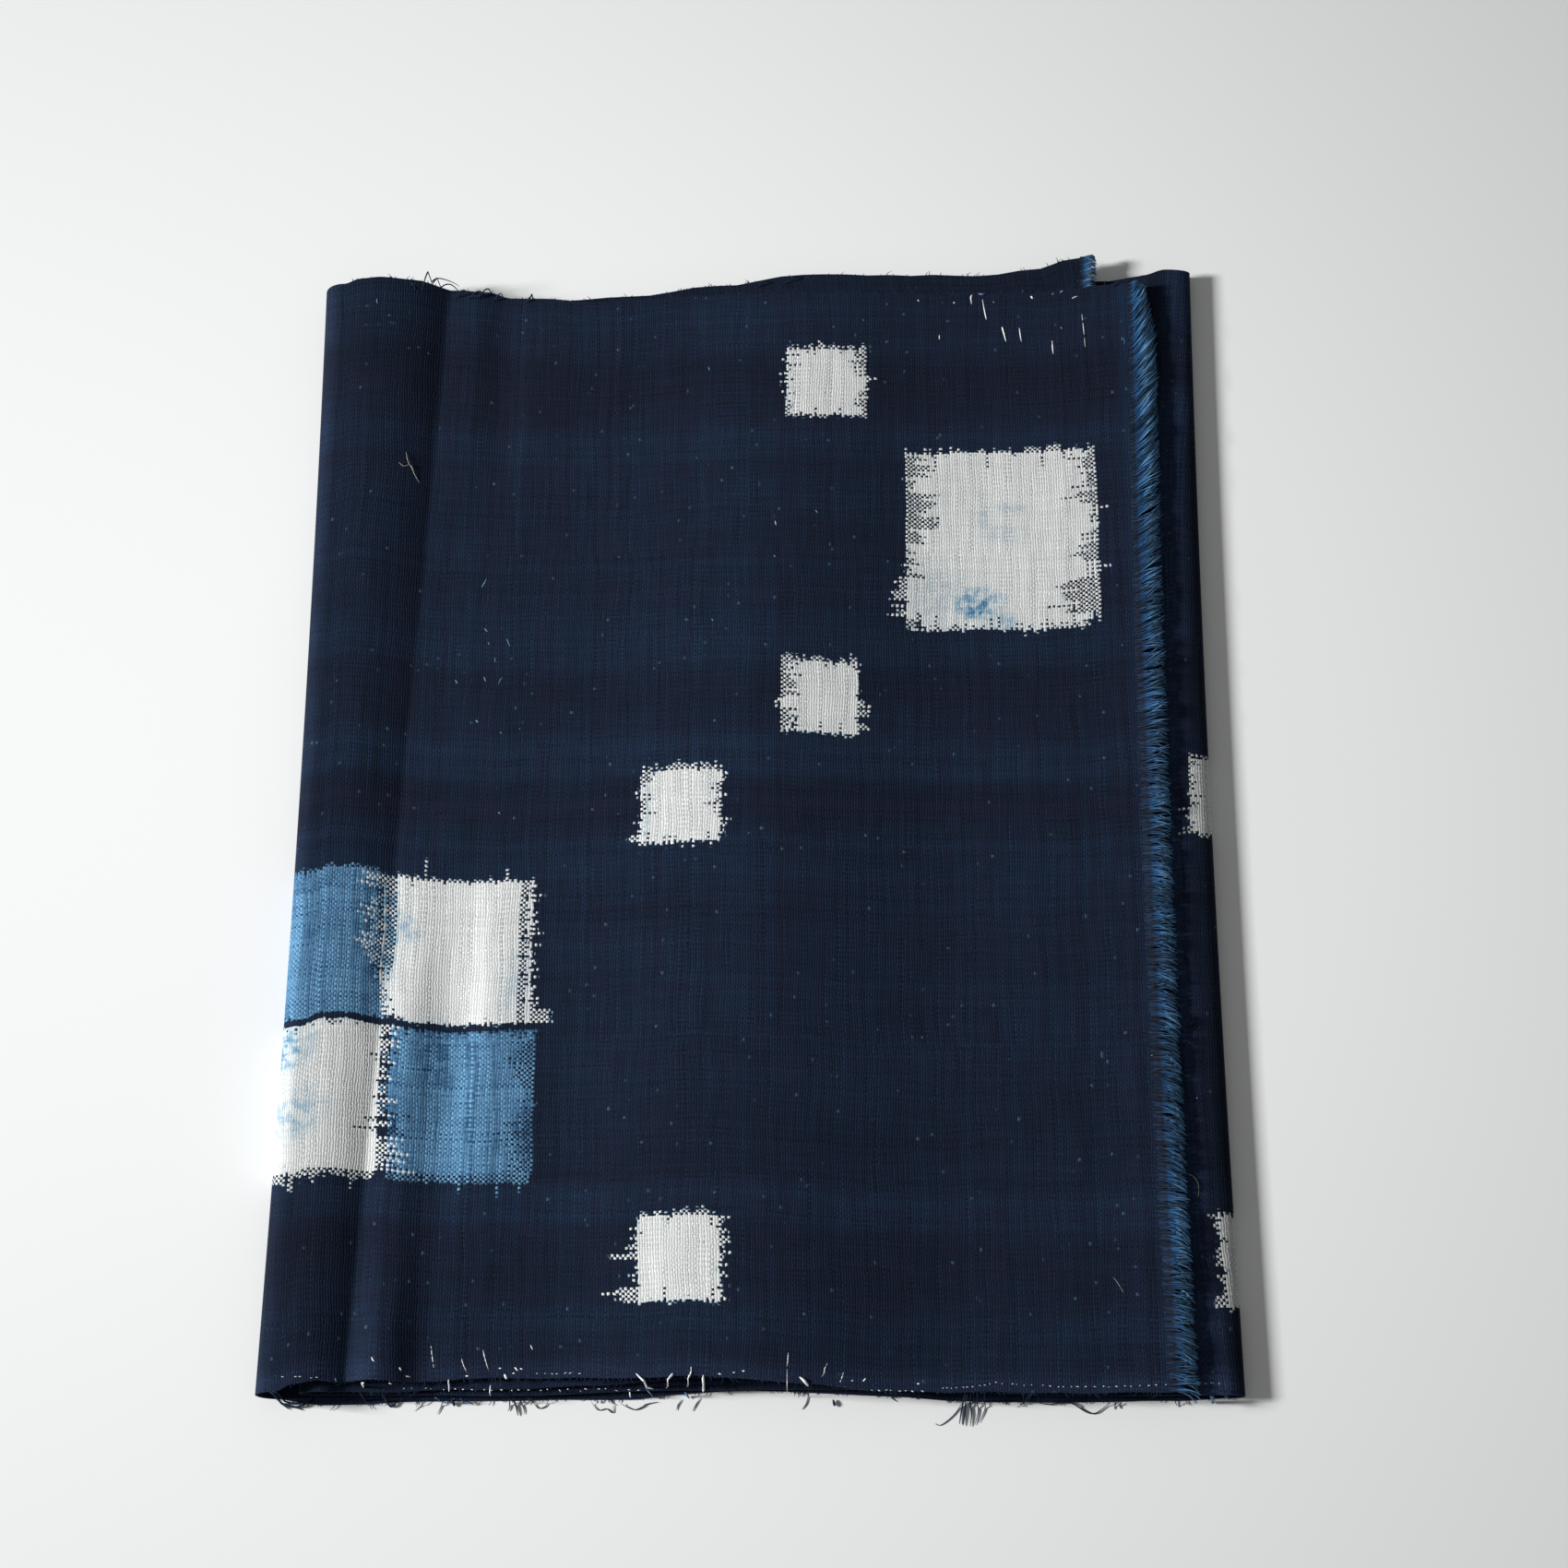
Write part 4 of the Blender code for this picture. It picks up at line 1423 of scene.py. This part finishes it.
@dataclass
class Studio:
    """Pale paper floor, one soft light from the left with fill all round, and the camera."""

    aim: Vector = field(default_factory=lambda: Vector((8.2, 4.4, 0.0)))
    distance: float = 916.0
    elevation: float = 68.15
    lens: float = 74.985
    sensor: float = 36.0
    floor_colour: str = "#eeefef"
    floor_half: float = 3.0
    floor_middle: tuple[float, float, float] = (0.01, 0.02, 0.0)
    # Painted shade: darker away from the middle, as a lens leaves the corners of a picture
    floor_painted_shade: Ramp = Ramp(0.16, 0.36, 1.0, 0.84)
    light_place: Vector = field(default_factory=lambda: Vector((-2.4, -0.05, 1.06)))
    light_size: float = 0.4
    light_power: float = 130.0
    fill: float = 0.195

    def build(self) -> None:
        """Make the floor, the lights and the camera."""
        self.make_floor()
        self.make_light()
        self.make_camera()
        bpy.context.scene.view_settings.view_transform = "Standard"

    def make_floor(self) -> None:
        """A wide plain sheet of paper, with painted shade away from its middle."""
        shape = bmesh.new()
        bmesh.ops.create_grid(shape, x_segments=1, y_segments=1, size=self.floor_half)
        mesh = bpy.data.meshes.new("floor")
        shape.to_mesh(mesh)
        shape.free()
        material, tree = new_material("matt_paper")
        place = add(tree, "TexCoord", output="Object")
        apart = add(tree, "VectorMath", place, self.floor_middle, output="Value", operation="DISTANCE")
        # Painted shade, darker away from the middle
        tone = add(tree, "MapRange", apart, *self.floor_painted_shade)
        paper = linear(self.floor_colour)[:3]
        colour = add(tree, "VectorMath", paper, named={"Scale": tone}, operation="SCALE")
        shader = add(tree, "BsdfPrincipled", named={
            "Base Color": colour,
            "Roughness": 0.9,
            "Specular IOR Level": 0.1,
        })
        add(tree, "OutputMaterial", shader)
        mesh.materials.append(material)
        link(bpy.data.objects.new("floor", mesh))

    def make_light(self) -> None:
        """A softbox low at the left, and an even pale sky."""
        light = bpy.data.lights.new("softbox", "AREA")
        light.shape = "SQUARE"
        light.size = self.light_size
        light.energy = self.light_power
        lamp = link(bpy.data.objects.new("softbox", light))
        lamp.location = self.light_place
        lamp.rotation_euler = (-self.light_place).to_track_quat("-Z", "Y").to_euler()
        world = bpy.data.worlds.new("pale_room")
        world.use_nodes = True
        world.node_tree.nodes.clear()
        sky = add(world.node_tree, "Background", (1.0, 1.0, 1.0, 1.0), self.fill)
        add(world.node_tree, "OutputWorld", sky)
        bpy.context.scene.world = world

    def make_camera(self) -> None:
        """The camera at the photograph's angle."""
        lens = bpy.data.cameras.new("camera")
        lens.lens = self.lens
        lens.sensor_width = self.sensor
        camera = link(bpy.data.objects.new("camera", lens))
        tilt = math.radians(self.elevation)
        back = Vector((0.0, -math.cos(tilt), math.sin(tilt)))
        camera.location = (self.aim + self.distance * back) * MM
        camera.rotation_euler = (-back).to_track_quat("-Z", "Y").to_euler()
        bpy.context.scene.camera = camera


# Rows of yarn ends hold the points and the width, and where they matter fat, beads and lift

# White yarn that shows: bead-like slubs of the weft, tufts and bits of basting thread
WHITE_ENDS: tuple[YarnEnd, ...] = tuple(YarnEnd(*row) for row in (
    (((66.8, 156.1), (67.3, 152.5), (67.9, 148.8)), 0.75, 0.75),
    (((72.4, 146.5), (72.9, 144.4), (73.5, 141.2)), 1.0, 0.3),
    (((77.5, 146.3), (77.7, 144.0), (78.0, 141.3)), 0.7),
    (((87.0, 142.0), (87.1, 140.0), (87.2, 137.2)), 0.75, 0.6),
    (((96.0, 151.3), (96.4, 146.0), (96.7, 138.6)), 0.5, 0.5, 9), (((53.9, 143.7), (53.9, 142.0)), 0.6),
    (((63.9, 157.3), (63.5, 156.4), (63.6, 153.9)), 1.0, 0.3), (((47.7, 155.4), (48.1, 154.8)), 0.8),
    (((58.3, 154.8), (58.7, 154.3)), 0.9), (((81.2, 156.9), (81.8, 155.9)), 1.2),
    (((93.3, 156.0), (94.2, 156.5), (95.1, 156.8)), 0.8),
    (((-98.6, -159.4), (-98.2, -160.3), (-97.7, -160.7)), 0.7),
    (((-101.0, -166.3), (-100.2, -166.1)), 1.0, 0.3), (((-91.4, -162.0), (-90.8, -162.9)), 0.8),
    (((-89.8, -164.2), (-88.4, -164.3)), 0.7),
    (((-83.6, -155.8), (-83.2, -158.6), (-82.6, -162.1)), 0.6, 0.5, 8),
    (((-75.6, -159.3), (-74.9, -161.2), (-73.9, -163.2)), 0.55, 0.4, 5),
    (((-74.4, -163.9), (-73.4, -163.9)), 0.7),
    (((-70.1, -156.9), (-69.3, -159.8), (-68.2, -163.0)), 0.6, 0.35, 7),
    (((-64.3, -163.4), (-63.6, -164.6)), 1.3), (((-78.7, -164.7), (-78.7, -167.5)), 0.6),
    (((-68.0, -165.7), (-68.1, -168.2)), 0.6), (((-61.7, -161.6), (-60.7, -162.6)), 0.8),
    (((-62.2, -163.2), (-61.5, -163.2)), 0.8), (((-60.3, -161.9), (-59.5, -162.2)), 0.6),
    (((-65.8, -161.9), (-65.0, -161.9)), 0.6), (((-57.7, -155.8), (-57.1, -157.1)), 0.5),
    (((-30.1, -163.6), (-27.9, -165.7), (-25.6, -166.4)), 1.0, 0.6, 0, 0.5),
    (((-31.9, -167.1), (-31.8, -168.2)), 0.6),
    (((-20.4, -163.8), (-21.4, -165.0), (-22.5, -166.2)), 0.9, 0.2, 0, 0.4),
    (((-15.8, -162.0), (-15.8, -163.6), (-16.3, -164.7), (-17.1, -166.0)), 0.85, 0.6, 4, 0.3),
    (((-12.6, -164.3), (-12.7, -165.6), (-12.8, -167.1)), 1.1, 0.7, 0, 0.4),
    (((-8.8, -164.0), (-7.9, -164.2)), 0.7), (((-5.1, -163.8), (-4.3, -163.7)), 0.45),
    (((-2.6, -163.4), (-1.8, -163.3)), 0.7), (((9.3, -158.4), (9.2, -160.2), (9.0, -162.3)), 0.6, 0.5, 5),
    (((9.0, -162.4), (9.0, -167.4)), 0.3, 0.9),
    (((12.2, -164.8), (13.3, -165.7), (14.5, -167.1)), 1.2, 0.6, 0, 0.4),
    (((19.6, -160.8), (18.7, -162.6), (18.6, -163.6), (17.8, -164.8)), 0.6, 0.5, 5),
    (((23.6, -163.3), (23.2, -164.7), (22.6, -166.2)), 0.6, 0.4, 3),
    (((28.6, -165.7), (29.4, -164.8)), 0.8), (((25.6, -165.5), (26.2, -165.5)), 0.6),
    (((42.6, -166.0), (43.4, -166.0)), 0.8), (((124.0, -165.6), (124.2, -167.8)), 0.7),
    (((118.9, -165.2), (119.4, -165.2)), 0.5), (((-124.6, -95.0), (-124.5, -95.4)), 0.4),
    (((118.9, -88.3), (119.1, -88.7)), 0.5), (((5.7, 81.6), (5.9, 80.2)), 0.4),
))
STITCH_ROWS: tuple[StitchRow, ...] = (
    StitchRow((-124.0, -164.5), (-110.8, -164.9), 6),
    StitchRow((-57.0, -163.4), (-44.0, -163.3), 7),
    StitchRow((-94.0, -166.5), (-29.0, -166.6), 26, 0.5),
    StitchRow((30.0, -167.8), (44.5, -168.0), 8),
    StitchRow((48.4, -166.9), (63.5, -165.6), 11, 0.5),
    StitchRow((64.0, -165.8), (107.5, -166.2), 22, 0.7),
    StitchRow((112.5, -165.2), (126.8, -165.4), 9),
)
# Faded blue nubs and tufts
BLUE_ENDS: tuple[YarnEnd, ...] = tuple(YarnEnd(*row) for row in (
    (((-78.0, 61.6), (-77.2, 63.0), (-76.6, 64.6)), 0.8), (((-76.7, 48.9), (-75.6, 47.8)), 0.9),
    (((-75.5, 44.6), (-75.0, 43.8)), 0.6), (((-70.3, 45.8), (-69.2, 43.2)), 0.6),
    (((-73.5, 40.0), (-73.2, 38.4)), 0.6), (((-84.4, 33.0), (-83.5, 31.8)), 0.9),
    (((-76.3, 34.0), (-75.7, 32.4)), 0.8), (((-72.2, 31.6), (-71.6, 33.0), (-71.0, 33.8)), 0.6),
    (((-78.2, 20.6), (-77.2, 20.0)), 1.2), (((-71.3, 17.0), (-70.6, 16.6)), 0.8),
    (((-65.9, 18.2), (-65.5, 17.8)), 0.5), (((-71.0, -7.0), (-70.2, -7.5)), 1.0),
    (((-111.4, 153.2), (-111.2, 151.4)), 0.9), (((17.2, 85.2), (18.0, 84.2)), 0.8),
    (((5.3, 70.6), (5.9, 70.0)), 0.7), (((-12.3, 50.8), (-11.7, 50.0)), 0.6),
    (((-39.1, 71.4), (-38.8, 71.0)), 0.5), (((-13.9, 132.6), (-13.5, 131.2)), 0.6),
    (((31.4, 148.2), (31.9, 147.8)), 0.6), (((22.5, 145.7), (23.3, 145.3)), 0.5),
    (((89.6, 146.4), (90.2, 145.8)), 0.8),
    (((107.0, 141.6), (107.9, 142.0), (108.3, 140.9), (107.6, 140.3)), 0.35),
    (((65.8, 157.7), (66.8, 157.3), (67.8, 157.8)), 1.0, 0.5, 0, 0.3),
    (((69.8, 154.9), (70.6, 154.6)), 0.7), (((87.4, 157.3), (88.2, 157.9)), 0.9),
    (((89.8, 158.0), (91.0, 158.8)), 1.2), (((-108.0, -164.6), (-107.6, -165.6)), 0.8),
    (((-82.6, -168.6), (-80.0, -169.6), (-77.4, -168.9)), 0.6, 0.5, 0, 0.6),
    (((-76.0, -169.0), (-74.0, -169.5), (-72.6, -170.0)), 0.7, 0.4, 0, 0.5),
    (((-40.6, -168.9), (-40.2, -169.5)), 0.8), (((118.6, -168.6), (120.2, -169.6)), 1.4),
    (((122.6, -167.2), (124.4, -168.6)), 1.4), (((-28.0, -166.0), (-26.0, -168.0), (-24.4, -168.2)), 0.5),
    (((-17.6, -167.2), (-16.4, -168.3)), 0.8),
))
# Cream thread that lies on the cloth
CREAM_ENDS: tuple[YarnEnd, ...] = tuple(YarnEnd(*row) for row in (
    (((106.7, -77.6), (109.3, -76.6), (111.0, -76.3), (112.0, -75.0)), 0.55, 0.5, 0, 0.8),
    (((-103.0, 100.5), (-101.5, 99.2), (-99.5, 99.6), (-98.4, 97.0), (-96.8, 94.4)), 0.3, 0.5, 0, 0.4),
    (((-101.0, 104.0), (-100.4, 101.0), (-98.8, 98.0)), 0.22, 0.5, 0, 0.5),
    (((-124.0, -159.7), (-123.8, -163.0)), 0.6),
    (((114.6, -109.2), (116.9, -110.2), (118.2, -112.6), (118.1, -115.8)), 0.22, 0.5, 0, 0.6),
    (((94.3, -137.7), (95.6, -139.4), (97.2, -142.4)), 0.2),
))
# Navy threads and tufts off the selvedges
NAVY_ENDS: tuple[YarnEnd, ...] = tuple(YarnEnd(*row) for row in (
    (((-98.5, 157.0), (-96.5, 160.8), (-93.6, 162.8), (-88.6, 163.2)), 0.7, 0.3, 0, 6.0),
    (((-96.5, 157.5), (-93.5, 160.4), (-90.5, 161.4), (-88.0, 160.6)), 0.7, 0.3, 0, 5.0),
    (((-100.5, 157.0), (-101.0, 158.8)), 0.8, 0.3),
    (((-89.0, 156.0), (-86.5, 157.6), (-84.5, 156.8)), 0.7, 0.3, 0, 2.0),
    (((-85.0, 155.5), (-82.0, 157.2), (-80.0, 156.4)), 0.7, 0.3, 0, 2.0),
    (((-82.5, 155.5), (-79.5, 158.0), (-78.2, 157.4)), 0.7, 0.3, 0, 2.0),
    (((-77.5, 155.0), (-75.6, 157.0), (-74.6, 155.8)), 0.6, 0.3, 0, 1.5),
    (((-68.0, 154.6), (-66.6, 156.0), (-66.0, 158.0), (-67.0, 157.2)), 0.7, 0.3, 0, 1.5),
    (((0.0, 161.0), (2.4, 162.4), (4.6, 162.8)), 0.5, 0.3, 0, 1.0),
    (((8.0, 162.2), (11.0, 163.6), (13.0, 164.8)), 0.5, 0.3, 0, 1.0),
    (((-125.6, -167.6), (-122.6, -169.6), (-119.4, -170.6), (-116.4, -169.8),
      (-113.4, -166.8)), 0.9, 0.5, 0, 0.5),
    (((-125.0, -167.8), (-121.8, -169.2), (-118.6, -169.9), (-115.6, -168.8),
      (-114.4, -167.2)), 0.8, 0.5, 0, 0.8),
    (((-125.2, -168.0), (-122.4, -169.9), (-120.6, -171.2)), 0.6, 0.3, 0, 0.3),
    (((-120.0, -170.4), (-118.6, -170.8), (-117.0, -171.4)), 0.5, 0.3, 0, 0.3),
    (((-102.0, -167.5), (-100.0, -169.6), (-97.0, -169.0)), 0.9, 0.5),
    (((-96.0, -168.0), (-94.2, -170.4), (-92.5, -169.2)), 1.0, 0.5),
    (((-88.0, -171.6), (-85.6, -169.6), (-84.0, -168.6)), 0.3, 0.6),
    (((-82.0, -172.4), (-81.0, -170.2), (-80.4, -168.4)), 0.4, 0.6),
    (((-78.2, -168.6), (-77.6, -170.4)), 1.1, 0.6),
    (((-63.4, -168.6), (-63.2, -170.4), (-63.6, -171.6)), 0.5, 0.3),
    (((-62.2, -168.6), (-61.4, -171.0), (-61.0, -172.8)), 0.7, 0.3),
    (((-60.8, -168.6), (-59.6, -170.8), (-59.4, -172.4)), 0.4, 0.3),
    (((-57.4, -168.8), (-55.8, -170.8), (-54.0, -170.4), (-53.2, -169.0)), 0.4),
    (((-42.0, -169.2), (-40.2, -171.3), (-38.0, -171.0), (-36.4, -172.0), (-36.2, -169.8)), 0.4),
    (((-34.4, -169.6), (-31.0, -171.2), (-28.8, -170.6), (-27.6, -169.8), (-24.6, -169.2)), 0.5),
    (((-18.4, -168.6), (-19.4, -170.0), (-19.8, -171.4)), 0.35),
    (((-13.6, -168.2), (-14.8, -170.0), (-15.6, -171.6)), 0.35),
    (((14.6, -167.2), (14.0, -169.6), (12.8, -171.2)), 0.35),
    (((21.0, -168.6), (21.4, -170.4)), 1.1, 0.6),
    (((55.0, -168.6), (54.4, -171.6), (53.8, -175.0)), 0.7, 0.4),
    (((55.6, -168.6), (55.2, -172.0), (54.8, -175.4)), 0.7, 0.4),
    (((56.4, -168.4), (57.0, -172.0), (56.6, -175.6)), 0.6, 0.4),
    (((58.0, -168.0), (58.8, -171.4), (57.8, -175.2)), 0.45, 0.4),
    (((59.8, -167.8), (60.6, -170.8), (58.8, -174.6)), 0.4, 0.4),
    (((55.0, -169.0), (52.4, -172.6), (49.0, -175.2), (47.4, -174.8)), 0.35, 0.3),
    (((69.6, -167.8), (71.0, -169.8), (72.4, -168.4), (70.6, -169.6), (68.8, -170.6)), 0.4),
    (((72.0, -168.4), (76.3, -169.9), (80.6, -169.5), (83.4, -169.7), (86.9, -171.8), (89.1, -172.2),
      (91.3, -170.9), (93.6, -169.2)), 0.6),
    (((94.6, -169.4), (94.2, -171.2)), 0.35), (((95.6, -169.4), (95.8, -171.0)), 0.4),
    (((111.0, -169.0), (111.0, -170.6)), 0.35),
    (((105.6, 159.6), (106.8, 161.2), (107.6, 160.6)), 0.6, 0.5, 0, 0.6),
))


def main() -> None:
    """Build the cloth, its fringes, the loose yarns and the studio, hide the CAD parts they stand in for,
    and log each piece's faces.
    """
    logging.basicConfig(level=logging.INFO, format="%(message)s")
    Studio().build()
    plan = FoldPlan()
    cloth = FoldedSheet(plan, WovenIndigoCotton()).build()
    faded = FadedWarpYarn().build()
    top_fringe = WarpFringe(
        "frayed_top_cut", plan, faded, Layer.TOP, "top cut", layers=0.0, strands=1700,
        reach=Course(8.4, 8.5, 8.0), lean=Course(1.7, 0.1, -0.15), seed=5,
    ).build()
    inner_fringe = WarpFringe(
        "frayed_inner_cut", plan, faded, Layer.SECOND, "second cut", layers=4.0, strands=500,
        reach=Course(5.0, 5.6, 5.6), lean=Course(0.3, 0.05, 0.0), seed=9,
        shortest=0.8, crowding=1.8, overhang=0.8,
    ).build()
    white, blue, cream, navy = (SpunYarn(name, colour).build() for name, colour in (
        ("undyed_spun_cotton", "#dfe3e3"), ("faded_spun_cotton", "#56799a"),
        ("unbleached_thread", "#a8a99c"), ("navy_spun_cotton", "#1a2a40"),
    ))
    scraps = [
        YarnEnds("white_yarn_ends", plan, white, WHITE_ENDS, STITCH_ROWS).build(),
        YarnEnds("faded_yarn_nubs", plan, blue, BLUE_ENDS).build(),
        YarnEnds("cream_thread_ends", plan, cream, CREAM_ENDS).build(),
        YarnEnds("navy_thread_ends", plan, navy, NAVY_ENDS).build(),
        SelvedgeFuzz("selvedge_fuzz", plan, navy).build(),
    ]
    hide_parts("cloth")
    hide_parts("fringe_top")
    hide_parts("fringe_inner")
    for piece in (cloth, top_fringe, inner_fringe, *scraps):
        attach(piece, "root")
        log.info("%s: %d faces", piece.name, len(piece.data.polygons))


if __name__ == "__main__":
    main()
